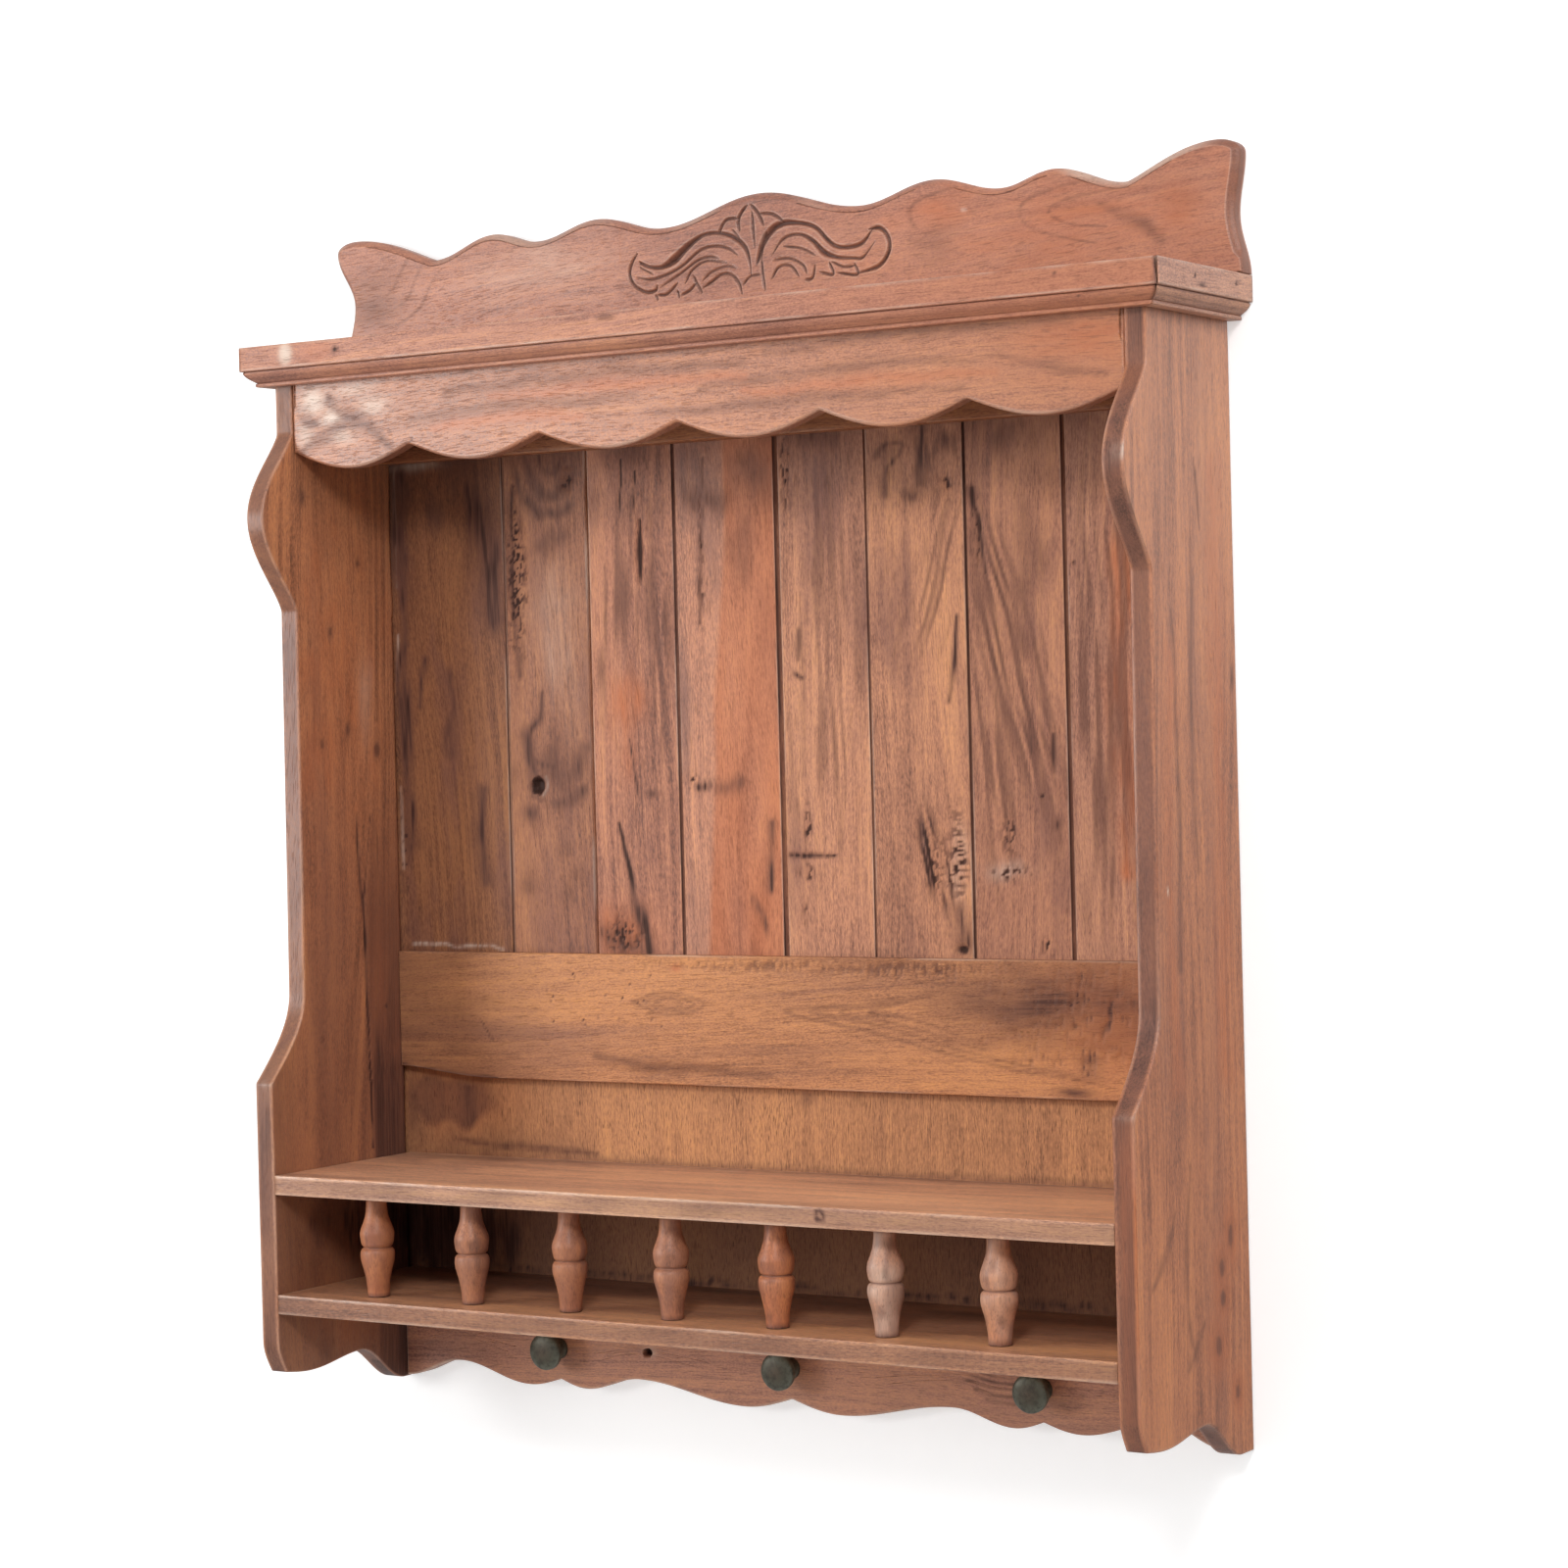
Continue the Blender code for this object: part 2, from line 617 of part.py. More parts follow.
full = both_halves(cresting_half)
face = drawn_in(full, CRESTING_CHAMFER)
layers = ((face, -CRESTING_T), (full, CRESTING_CHAMFER - CRESTING_T), (full, 0))
cresting_solid = strip(*[[(x, y, z) for x, z in outline] for outline, y in layers])
cresting = add_object("cresting", cresting_solid, red_brown)

# Peg rail: a scalloped apron under the lower shelf, lapped into the sides
def peg_rail_half(hand):
    """Lower edge from the middle outwards, with sharp cusps under the knobs, then up the end."""
    lows = [(share * INNER + hand * PEG_SHIFT * (share < 1), height) for share, height in PEG_WAVES]
    cusps = [share in (0.0, PEG_CUSP) for share, height in PEG_WAVES]
    runs = []
    for i, (a, b) in enumerate(zip(lows, lows[1:])):
        if cusps[i]:
            runs.append(curve(a, b, sweep))
        elif cusps[i + 1]:
            runs.append(curve(b, a, sweep)[::-1])
        else:
            runs.append(curve(a, b, wave))
    return chain(*runs, [(LAP_EDGE, lows[-1][1]), (LAP_EDGE, FOOT_H - GAP)])


peg_rail = add_object("peg_rail", prism(both_halves(peg_rail_half), "Y", -PEG_RAIL_T, 0), red_brown)
carve(peg_rail, lap_ends(PEG_RAIL_T, -2 * BACK_LOBE_DROP, FOOT_H))

# Fasteners are countersunk screws and headed nails, each in a clearance hole
holes = defaultdict(list)


def screw_profile(length, grow, over):
    """Countersunk screw from its tip up to its head, or the hole for it."""
    radius, head = SCREW_R + grow, SCREW_HEAD_R + grow
    profile = [(0, -grow), (radius, -grow), (radius, length - SCREW_HEAD_H), (head, length)]
    return profile + ([(head, length + over), (0, length + over)] if over else [(0, length)])


def nail_profile(length, grow, over):
    """Nail from its tip up to its flat head, or the hole for it."""
    radius, head = NAIL_R + grow, NAIL_HEAD_R + grow
    seat = length - NAIL_HEAD_H - grow
    profile = [(0, -grow), (radius, -grow), (radius, seat), (head, seat), (head, length + over)]
    return profile + [(0, length + over)]


def drive(name, profile, length, head_point, inward, pieces, material):
    """Set a fastener with its head just under the surface and bore its hole in every piece it meets."""
    into = Vector(inward)
    tip = Vector(head_point) + into * (length + GAP)
    smooth_rounds(add_object(name, aim(turned(profile(length, 0, 0), ROUND_STEPS), tip, -into), material))
    for piece in pieces:
        holes[piece].append(aim(turned(profile(length, GAP, 2 * GAP), ROUND_STEPS), tip, -into))


# Cornice nails through the fascia into the edges of the top board
nail_height = TOP - FASCIA_H / 2
nail_length = FASCIA_OUT + NAIL_BITE
for i, share in enumerate(NAIL_SHARES_FRONT):
    point = (share * WIDTH / 2, -(UPPER_DEPTH + FASCIA_OUT), nail_height)
    drive(f"cornice_nail_front_{i + 1}", nail_profile, nail_length, point, (0, 1, 0),
          (cornice_front, top_board), dark_steel)
for hand, word in ((-1, "left"), (1, "right")):
    for i, share in enumerate(NAIL_SHARES_RETURN):
        point = (hand * CORNICE_HALF, -share * UPPER_DEPTH, nail_height)
        drive(f"cornice_nail_{word}_{i + 1}", nail_profile, nail_length, point, (-hand, 0, 0),
              (returns[hand], top_board), dark_steel)

# Top board screws into the ends of the sides
for hand, word in ((-1, "left"), (1, "right")):
    for i, share in enumerate(NAIL_SHARES_RETURN):
        depth = share * UPPER_DEPTH + TOP_SCREW_PAST_NAIL
        point = (hand * (WIDTH / 2 - SIDE_T / 2 + SCREW_R), -depth, TOP)
        drive(f"top_screw_{word}_{i + 1}", screw_profile, TOP_SCREW_L, point, (0, 0, -1),
              (top_board, sides[hand]), dark_steel)

# Cresting screws up through the top board
for i, share in enumerate(CRESTING_SCREW_SHARES):
    point = (share * WIDTH / 2, -CRESTING_T / 2, SIDE_H)
    drive(f"cresting_screw_{i + 1}", screw_profile, CRESTING_SCREW_L, point, (0, 0, 1),
          (top_board, cresting), dark_steel)

# Knobs on the peg rail, each held by a screw from behind
def knob_profile():
    """Foot, neck, swept back of the head, rim and low dome, out from the rail."""
    neck = (KNOB_NECK_R, KNOB_NECK_OUT * KNOB_OUT)
    steps = TURNED_CURVE_STEPS
    foot = upright((KNOB_FOOT_R, GAP), neck, wave, 1.0, steps)
    back = upright(neck, (KNOB_R, KNOB_BACK_OUT * KNOB_OUT), wave, 1.0, steps)
    rim = (KNOB_R, KNOB_RIM_OUT * KNOB_OUT)
    dome = upright((KNOB_FACE_R, KNOB_OUT), rim, sweep, KNOB_DOME, steps)[::-1]
    return chain([(0, GAP)], foot, back, dome, [(0, KNOB_OUT)])


for i, share in enumerate((-PEG_CUSP, 0.0, PEG_CUSP)):
    spot = (share * INNER + PEG_SHIFT, -PEG_RAIL_T, KNOB_HEIGHT)
    knob = add_object(f"knob_{i + 1}", aim(turned(knob_profile(), TURNED_STEPS), spot, (0, -1, 0)), patina)
    smooth_rounds(knob)
    drive(f"knob_screw_{i + 1}", screw_profile, KNOB_SCREW_L, (spot[0], 0, KNOB_HEIGHT), (0, -1, 0),
          (peg_rail, knob), dark_steel)

# Hanger plates let into the outer back boards over the hanging rail, with keyholes for wall screws
def keyhole():
    """Round entry with a narrow slot above it, about the plate's middle, as (x, height)."""
    turn = math.asin(KEYHOLE_SLOT_R / KEYHOLE_R)
    spread = 2 * (math.pi - turn)
    entry = []
    for i in range(ROUND_STEPS + 1):
        angle = math.pi / 2 + turn + spread * i / ROUND_STEPS
        entry.append((KEYHOLE_R * math.cos(angle), KEYHOLE_R * math.sin(angle)))
    slot_top = []
    for i in range(ROUND_STEPS // 2 + 1):
        angle = 2 * math.pi * i / ROUND_STEPS
        slot_top.append((KEYHOLE_SLOT_R * math.cos(angle), KEYHOLE_RISE + KEYHOLE_SLOT_R * math.sin(angle)))
    return entry + slot_top


for hand, word, board in ((-1, "left", back_boards[0]), (1, "right", back_boards[-1])):
    middle = hand * (INNER - outer_board / 2)
    half_w, half_h = HANGER_W / 2, HANGER_H / 2
    plate_low = (middle - half_w, -HANGER_T, MOUNT_HEIGHT - half_h)
    plate_high = (middle + half_w, 0, MOUNT_HEIGHT + half_h)
    plate = add_object(f"hanger_plate_{word}", block(plate_low, plate_high), dark_steel)
    hole = [(middle + x, MOUNT_HEIGHT + z) for x, z in keyhole()]
    carve(plate, [prism(hole, "Y", -2 * HANGER_T, HANGER_T)])
    recess_low = (plate_low[0] - GAP, -HANGER_T - GAP, plate_low[2] - GAP)
    recess_high = (plate_high[0] + GAP, HANGER_T, plate_high[2] + GAP)
    carve(board, [block(recess_low, recess_high)])
    reach = KEYHOLE_R + POCKET_MARGIN
    pocket_low = (middle - reach, -2 * BOARD_T, MOUNT_HEIGHT - reach)
    pocket_high = (middle + reach, -HANGER_T, MOUNT_HEIGHT + KEYHOLE_RISE + reach - KEYHOLE_SLOT_R)
    carve(board, [block(pocket_low, pocket_high)])
    for i, rise in enumerate((-HANGER_SCREW_PITCH / 2, HANGER_SCREW_PITCH / 2)):
        point = (middle, 0, MOUNT_HEIGHT + rise)
        drive(f"hanger_screw_{word}_{i + 1}", screw_profile, HANGER_SCREW_L, point, (0, -1, 0),
              (plate, board, hanging_rail), dark_steel)

for piece, solids in holes.items():
    carve(piece, solids)
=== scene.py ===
import math

import bpy
import numpy as np
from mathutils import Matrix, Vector


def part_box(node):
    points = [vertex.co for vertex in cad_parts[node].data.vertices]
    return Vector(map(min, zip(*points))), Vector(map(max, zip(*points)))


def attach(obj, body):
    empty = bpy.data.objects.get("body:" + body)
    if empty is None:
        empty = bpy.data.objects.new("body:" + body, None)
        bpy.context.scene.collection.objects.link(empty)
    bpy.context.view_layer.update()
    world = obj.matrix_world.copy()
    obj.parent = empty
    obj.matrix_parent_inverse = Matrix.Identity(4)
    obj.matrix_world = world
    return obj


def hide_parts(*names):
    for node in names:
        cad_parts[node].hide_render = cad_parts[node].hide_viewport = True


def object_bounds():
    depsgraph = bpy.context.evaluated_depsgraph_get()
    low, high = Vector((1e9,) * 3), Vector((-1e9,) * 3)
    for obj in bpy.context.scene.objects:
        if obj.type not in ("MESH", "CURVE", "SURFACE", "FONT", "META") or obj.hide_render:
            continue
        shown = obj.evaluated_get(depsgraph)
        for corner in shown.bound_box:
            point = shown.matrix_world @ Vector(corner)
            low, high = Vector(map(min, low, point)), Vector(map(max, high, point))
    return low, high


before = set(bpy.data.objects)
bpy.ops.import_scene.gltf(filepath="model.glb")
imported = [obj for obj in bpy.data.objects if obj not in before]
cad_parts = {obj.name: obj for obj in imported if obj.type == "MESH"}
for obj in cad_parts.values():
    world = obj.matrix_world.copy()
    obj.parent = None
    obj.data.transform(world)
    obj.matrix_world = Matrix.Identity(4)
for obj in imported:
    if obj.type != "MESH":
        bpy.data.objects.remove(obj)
cad_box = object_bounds()

# Side panels: two planed hardwood boards with upright grain, a shouldered front edge and lobed feet.
# They carry both shelves in housings and are rebated behind, so that the back lies flush with the wall.
# They are waxed all over, and darker along the front edge where hands and dust have been.
GAP = 0.0003
INNER = 0.3825
OUTER = 0.400
SIDE_H = 0.8172
SIDE_T = OUTER - INNER
REBATE_W, REBATE_D = 0.008, 0.0083
UPPER_DEPTH, WAIST_DEPTH, LOWER_DEPTH, SHOULDER_DEPTH = 0.134, 0.1375, 0.182, 0.174
STEP_TOP, SCOOP_TOP, WAIST_TOP, SHOULDER, NECK_FOOT = 0.2332, 0.3052, 0.6177, 0.6927, 0.7637
TOE_ROUND, TOE_DROP, TOE_TOP = 0.010, 0.0065, 0.02275
NOTCH_DEPTH, LOBE_DEPTH, LOBE_DROP = 0.077, 0.019, 0.0315
SIDE_TONES = {-1: (0.505, 0.210, 0.101), 1: (0.478, 0.181, 0.087)}
DARK, PALE, RED, ROUGH = range(4)
MM = 0.001
MIRROR = np.array((-1, 1))
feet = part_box("side_panel_right")[1].z - SIDE_H + GAP


def swell(u):
    """Even rise from 0 to 1, level at both ends."""
    return (1 - np.cos(np.pi * u)) / 2


def sweep(u):
    """Quick rise from a sharp corner, level at the far end."""
    return np.sin(np.pi * u / 2)


def level_run(start, end, shape, power=1.0, steps=32):
    """Points from start to end, even along the first coordinate, with the second led by a shape."""
    u = np.linspace(0, 1, steps + 1)
    share = shape(u) ** power
    return np.column_stack((start[0] + (end[0] - start[0]) * u, start[1] + (end[1] - start[1]) * share))


def upright_run(start, end, shape, power=1.0, steps=32):
    """Points from start to end, even along the second coordinate, with the first led by a shape."""
    return level_run(start[::-1], end[::-1], shape, power, steps)[:, ::-1]


def evenly(line, shares):
    """Points at the given shares of a line's length."""
    line = np.asarray(line, float)
    gone = np.concatenate(([0], np.cumsum(np.hypot(*np.diff(line, axis=0).T))))
    return np.column_stack([np.interp(shares * gone[-1], gone, line[:, k]) for k in (0, 1)])


def cells(length, size):
    """Shares that cut a length into cells of about one size."""
    return np.linspace(0, 1, max(2, round(length / size)) + 1)


def straight(left, right, foot, head):
    """The four edges of a plain board, as Board takes them."""
    corners = [(left, foot), (right, foot), (left, head), (right, head)]
    return [[corners[i], corners[j]] for i, j in ((0, 1), (2, 3), (0, 2), (1, 3))]


def facing_room(depth):
    """Place for an upright board whose show face stands a depth before the wall."""
    return lambda a, b, d: (a, d - depth, b + feet)


def lying(top):
    """Place for a level board whose show face lies at a height."""
    return lambda a, b, d: (a, b, feet + top - d)


def bend(points, steps=8):
    """A smooth line through a few points."""
    p = np.asarray(points, float)
    p = np.vstack((2 * p[0] - p[1], p, 2 * p[-1] - p[-2]))
    line = []
    for p0, p1, p2, p3 in zip(p, p[1:], p[2:], p[3:]):
        for u in np.arange(steps) / steps:
            square, cube = 2 * p0 - 5 * p1 + 4 * p2 - p3, 3 * p1 - p0 - 3 * p2 + p3
            line.append((2 * p1 + (p2 - p0) * u + square * u ** 2 + cube * u ** 3) / 2)
    return np.array(line + [p[-2]])


def cloud(u, v, seed):
    """Smooth random field between 0 and 1 over a plane, with cells one unit wide."""
    iu, iv = np.floor(u).astype(np.int64), np.floor(v).astype(np.int64)
    fu, fv = u - iu, v - iv
    fu, fv = fu * fu * (3 - 2 * fu), fv * fv * (3 - 2 * fv)

    def corner(du, dv):
        mixed = ((iu + du) * 73856093) ^ ((iv + dv) * 19349663) ^ (seed * 83492791)
        mixed = (mixed ^ (mixed >> 13)) * 1274126177
        return ((mixed ^ (mixed >> 16)) & 65535) / 65535

    low = corner(0, 0) * (1 - fu) + corner(1, 0) * fu
    high = corner(0, 1) * (1 - fu) + corner(1, 1) * fu
    return low * (1 - fv) + high * fv


def closeness(a, b, line, widths):
    """Distance of points to a line, as a share of the line's half width there."""
    line = np.asarray(line, float)
    widths = np.broadcast_to(np.asarray(widths, float), len(line))
    best = np.full(a.shape, np.inf)
    for p, q, w0, w1 in zip(line, line[1:], widths, widths[1:]):
        run = q - p
        along = np.clip(((a - p[0]) * run[0] + (b - p[1]) * run[1]) / (run @ run + 1e-18), 0, 1)
        away = np.hypot(a - p[0] - along * run[0], b - p[1] - along * run[1])
        best = np.minimum(best, away / (w0 + (w1 - w0) * along))
    return best


def add_piece(name, points, quads, caps, material, nodes, paint):
    """Make a finished mesh that faces outwards and stands for its nodes."""
    fans = [[(cap[0], j, k) for j, k in zip(cap[1:], cap[2:])] for cap in caps]
    thirds = np.vstack([quads[:, [0, 1, 2]], quads[:, [0, 2, 3]]] + fans)
    volume = np.sum(points[thirds[:, 0]] * np.cross(points[thirds[:, 1]], points[thirds[:, 2]]))
    faces = quads.tolist() + [list(cap) for cap in caps]
    mesh = bpy.data.meshes.new(name)
    mesh.from_pydata(points.tolist(), [], [face[::-1] for face in faces] if volume < 0 else faces)
    mesh.materials.append(material)
    mesh.shade_smooth()
    for cap in mesh.polygons[len(quads):]:
        cap.use_smooth = False
    marks = mesh.attributes.new("marks", "FLOAT_COLOR", "POINT")
    marks.data.foreach_set("color", np.clip(paint, 0, 1).astype(np.float32).ravel())
    piece = bpy.data.objects.new(name, mesh)
    bpy.context.scene.collection.objects.link(piece)
    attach(piece, "root")
    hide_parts(*nodes)
    return piece


class Board:
    """A planed board as a skin of small cells: a runs across its show face, b up it and d into the wood."""

    ROUND = np.radians((0, 30, 60, 90))

    def __init__(self, foot, head, left, right, thickness, across, up, arris=0.001, levels=None,
                 grid_behind=False, eased=None, level_grain=False):
        n, m = len(across) - 1, len(up) - 1
        foot, head = evenly(foot, across), evenly(head, across)
        left, right = evenly(left, up), evenly(right, up)
        loop = np.vstack((foot[:-1], right[:-1], head[:0:-1], left[:0:-1]))
        inward = self.inward(loop)
        arris = np.broadcast_to(np.asarray(arris, float), len(loop))
        quarter = [(arris * (1 - np.sin(turn)), arris * (1 - np.cos(turn))) for turn in self.ROUND]
        behind = [(inset, thickness - depth) for inset, depth in quarter[::-1]]
        if eased is None:
            eased = quarter
        if levels is None:
            levels = np.linspace(0, 1, max(1, round(thickness / 0.004)) + 2)[1:-1] * thickness
        sides = [(0 * arris, depth + 0 * arris) for depth in levels]
        if not grid_behind:
            behind.append((behind[-1][0] + 0.002, behind[-1][1]))
        rings = eased + sides + behind
        count, size = len(rings), len(loop)
        skin = [np.column_stack((loop + inward * inset[:, None], depth)) for inset, depth in rings]
        ids = np.arange(count * size).reshape(count, size)
        ahead = np.roll(ids, -1, 1)
        quads = [np.stack((ids[:-1], ids[1:], ahead[1:], ahead[:-1]), -1).reshape(-1, 4)]
        caps = []
        self.fresh = count * size
        front, skin, face = self.face(skin[0], ids[0], n, m, skin)
        quads.append(face)
        if grid_behind:
            back, skin, face = self.face(skin[count - 1], ids[-1], n, m, skin)
            quads.append(face[:, ::-1])
        else:
            back = []
            caps.append(ids[-1, ::-1].tolist())
        self.a, self.b, self.d = np.vstack(skin).T.copy()
        self.quads, self.caps = np.vstack(quads), caps
        self.thickness = thickness
        self.level_grain = level_grain
        self.paint = np.zeros((len(self.a), 4))
        self.show, self.behind, self.arris = (np.zeros(len(self.a)) for _ in range(3))
        self.show[front] = 1
        self.show[ids[1]], self.show[ids[2]] = 0.6, 0.25
        self.behind[back] = 1
        edges = list(range(len(eased))) + list(range(len(eased) + len(sides), len(eased) + len(sides) + 4))
        for ring in edges:
            self.arris[ids[ring]] = 1
        self.arris[ids[0]] = 0.5
        self.edge = np.zeros(len(self.a))
        self.edge[ids[1:len(eased) + len(sides) + 3]] = 1

    @staticmethod
    def inward(loop):
        """Mitred directions into the board along its outline."""
        back, on = loop - np.roll(loop, 1, 0), np.roll(loop, -1, 0) - loop
        back, on = (v / (np.hypot(*v.T)[:, None] + 1e-12) for v in (back, on))
        first, second = (np.column_stack((-v[:, 1], v[:, 0])) for v in (back, on))
        return (first + second) / np.maximum(1 + np.sum(first * second, 1), 0.45)[:, None]

    def face(self, ring, ids, n, m, skin):
        """Fill a ring with a grid of points led by its four sides."""
        foot, right = ring[:n + 1], ring[n:n + m + 1]
        head, left = ring[n + m:2 * n + m + 1][::-1], np.vstack((ring[2 * n + m:], ring[:1]))[::-1]
        t = np.linspace(0, 1, m + 1)[:, None, None]
        s = (np.hypot(*(foot - foot[0])[:, :2].T) / np.hypot(*(foot[-1] - foot[0])[:2]))[None, :, None]
        grid = (1 - t) * foot[None] + t * head[None] + (1 - s) * left[:, None] + s * right[:, None]
        grid -= ((1 - s) * (1 - t) * foot[0] + s * (1 - t) * foot[-1]
                 + (1 - s) * t * head[0] + s * t * head[-1])
        spots = np.empty((m + 1, n + 1), int)
        spots[0], spots[:, n] = ids[:n + 1], ids[n:n + m + 1]
        spots[m, ::-1] = ids[n + m:2 * n + m + 1]
        spots[::-1, 0] = np.append(ids[2 * n + m:], ids[0])
        spots[1:m, 1:n] = self.fresh + np.arange((m - 1) * (n - 1)).reshape(m - 1, n - 1)
        self.fresh += (m - 1) * (n - 1)
        skin = skin + [grid[1:m, 1:n].reshape(-1, 3)]
        quads = np.stack((spots[:-1, :-1], spots[:-1, 1:], spots[1:, 1:], spots[1:, :-1]), -1).reshape(-1, 4)
        return spots.ravel(), skin, quads

    def mist(self, size_across, size_along, seed):
        """Random field over the board with cells of the given sizes across and along the grain, in metres."""
        size_a, size_b = (size_along, size_across) if self.level_grain else (size_across, size_along)
        return cloud((self.a + 1.7 * self.d) / size_a, (self.b + 1.3 * self.d) / size_b, seed)

    def stain(self, channel, amount):
        """Deepen one kind of mark, on the show side and the edges."""
        near = amount * (self.d < self.thickness * 0.75)
        self.paint[:, channel] = np.maximum(self.paint[:, channel], near)

    def sink(self, amount):
        """Press the show face into the wood."""
        self.d += amount * self.show

    def streak(self, channel, line, width, amount=1.0, depth=0.0, ragged=0.5, seed=1):
        """A mark along a line, with the line and its half width in millimetres."""
        line, width = bend(np.asarray(line, float) * MM), np.asarray(width, float) * MM
        if width.ndim:
            width = np.interp(np.linspace(0, 1, len(line)), np.linspace(0, 1, len(width)), width)
        stray = ragged * np.mean(width) * 2.4
        a = self.a + stray * (self.mist(0.009, 0.03, seed + 7) - 0.5)
        b = self.b + stray * (self.mist(0.012, 0.02, seed + 8) - 0.5)
        core = np.exp(-closeness(a, b, line, width) ** 2)
        core = core * (1 - ragged + ragged * 1.7 * self.mist(0.0022, 0.018, seed))
        self.stain(channel, amount * core)
        self.sink(depth * MM * core)

    def spot(self, channel, middle, size, amount=1.0, depth=0.0, ragged=0.4, seed=2):
        """A soft mark about a middle, with its half sizes, in millimetres."""
        a = self.a / MM - middle[0] + ragged * size[0] * 1.5 * (self.mist(0.010, 0.03, seed + 5) - 0.5)
        b = self.b / MM - middle[1] + ragged * size[1] * 1.5 * (self.mist(0.012, 0.03, seed + 6) - 0.5)
        core = np.exp(-np.hypot(a / size[0], b / size[1]) ** 2)
        self.stain(channel, amount * core * (1 - ragged / 2 + ragged * self.mist(0.002, 0.016, seed + 1)))
        self.sink(depth * MM * core)

    def pits(self, middle, size, amount=0.9, depth=0.8, seed=3, cell=(1.6, 4.0), bar=0.56):
        """Torn and worm-eaten wood in a patch, with cells across and up it, in millimetres."""
        away = np.hypot((self.a / MM - middle[0]) / size[0], (self.b / MM - middle[1]) / size[1])
        patch = np.clip(1.5 - away - 0.6 * self.mist(0.006, 0.012, seed + 1), 0, 1)
        torn = (cloud(self.a / MM / cell[0], self.b / MM / cell[1], seed) - bar) / 0.16
        torn = np.clip(torn, 0, 1) * patch
        self.stain(DARK, amount * torn)
        self.stain(ROUGH, patch * 0.7)
        self.sink(depth * MM * torn)

    def fan(self, middle, size, lean, width=4.0, amount=0.5, seed=4):
        """Many dark streaks in a patch, leaning across the grain, in millimetres."""
        a, b = self.a / MM - middle[0], self.b / MM - middle[1]
        away = np.hypot((a - lean * b) / size[0], b / size[1])
        away = away + 0.5 * (self.mist(0.012, 0.03, seed + 1) - 0.5)
        across = (a - lean * b + 7 * (self.mist(0.02, 0.06, seed + 2) - 0.5)) / width
        lines = np.clip((cloud(across, b / (20 * width), seed) - 0.42) / 0.3, 0, 1)
        self.stain(DARK, amount * lines * np.clip(1.7 - 1.3 * away, 0, 1))

    def knot(self, middle, size, hole=0.0, amount=0.85):
        """A knot with its rings and a dark heart, open if it has a hole, in millimetres."""
        away = np.hypot((self.a / MM - middle[0]) / size[0], (self.b / MM - middle[1]) / size[1])
        away = away * (0.85 + 0.3 * self.mist(0.004, 0.006, 5))
        rings = np.exp(-away ** 2) * (0.45 + 0.2 * np.cos(away * 14)) + np.exp(-(away / 0.45) ** 2)
        self.stain(DARK, amount * np.clip(rings, 0, 1))
        if hole:
            self.sink(hole * MM * np.clip((0.5 - away) / 0.12, 0, 1))

    def worn(self, amount, seed, edge_dirt=0.0):
        """Rub the arrises pale in places, plane the face by hand and leave dirt on the edges."""
        patchy = np.clip(self.mist(0.03, 0.05, seed) * 2.2 - 0.7, 0, 1)
        self.paint[:, PALE] = np.maximum(self.paint[:, PALE], amount * patchy * self.arris)
        dirt = edge_dirt * (0.65 + 0.5 * self.mist(0.03, 0.05, seed + 1))
        dirt = dirt * self.edge * (1 - 0.7 * self.arris)
        self.paint[:, DARK] = np.maximum(self.paint[:, DARK], dirt)
        waves = 0.35 * MM * self.mist(0.04, 0.11, seed + 2) + 0.12 * MM * self.mist(0.009, 0.05, seed + 3)
        self.d += waves * self.show - waves * self.behind * (self.edge == 0)

    def finish(self, name, place, material, slot, *nodes):
        """Set the board in its place in the shelf."""
        points = np.column_stack(place(self.a, self.b, self.d))
        return add_piece(name, points, self.quads, self.caps, material, nodes, self.paint)


class Recipe:
    """Adds nodes to a tree: an input given as a socket is linked, and any other value is set."""

    def __init__(self, tree):
        self.tree = tree

    def add(self, kind, inputs=None, out=0, **settings):
        node = self.tree.nodes.new(kind)
        for key, value in settings.items():
            setattr(node, key, value)
        for key, value in (inputs or {}).items():
            if isinstance(value, bpy.types.NodeSocket):
                self.tree.links.new(value, node.inputs[key])
            else:
                node.inputs[key].default_value = value
        return node.outputs[out]

    def math(self, operation, *values, clamp=False):
        return self.add("ShaderNodeMath", dict(enumerate(values)), operation=operation, use_clamp=clamp)

    def vector(self, operation, *values):
        return self.add("ShaderNodeVectorMath", dict(enumerate(values)), operation=operation)

    def mix(self, share, under, over, blend="MIX"):
        inputs = {0: share, 6: under, 7: over}
        return self.add("ShaderNodeMix", inputs, 2, data_type="RGBA", blend_type=blend)

    def noise(self, spot, stretch, detail=2.0, roughness=0.55, out=0):
        inputs = {"Vector": self.vector("MULTIPLY", spot, stretch), "Scale": 1.0, "Detail": detail,
                  "Roughness": roughness}
        return self.add("ShaderNodeTexNoise", inputs, out)

    def close(self, surface, kind="ShaderNodeOutputMaterial"):
        """Link a finished shader to the tree's output."""
        self.tree.links.new(surface, self.tree.nodes.new(kind).inputs["Surface"])


def fresh_material(name):
    """An empty node material, and the recipe that fills it."""
    material = bpy.data.materials.new(name)
    material.use_nodes = True
    material.node_tree.nodes.clear()
    return material, Recipe(material.node_tree)


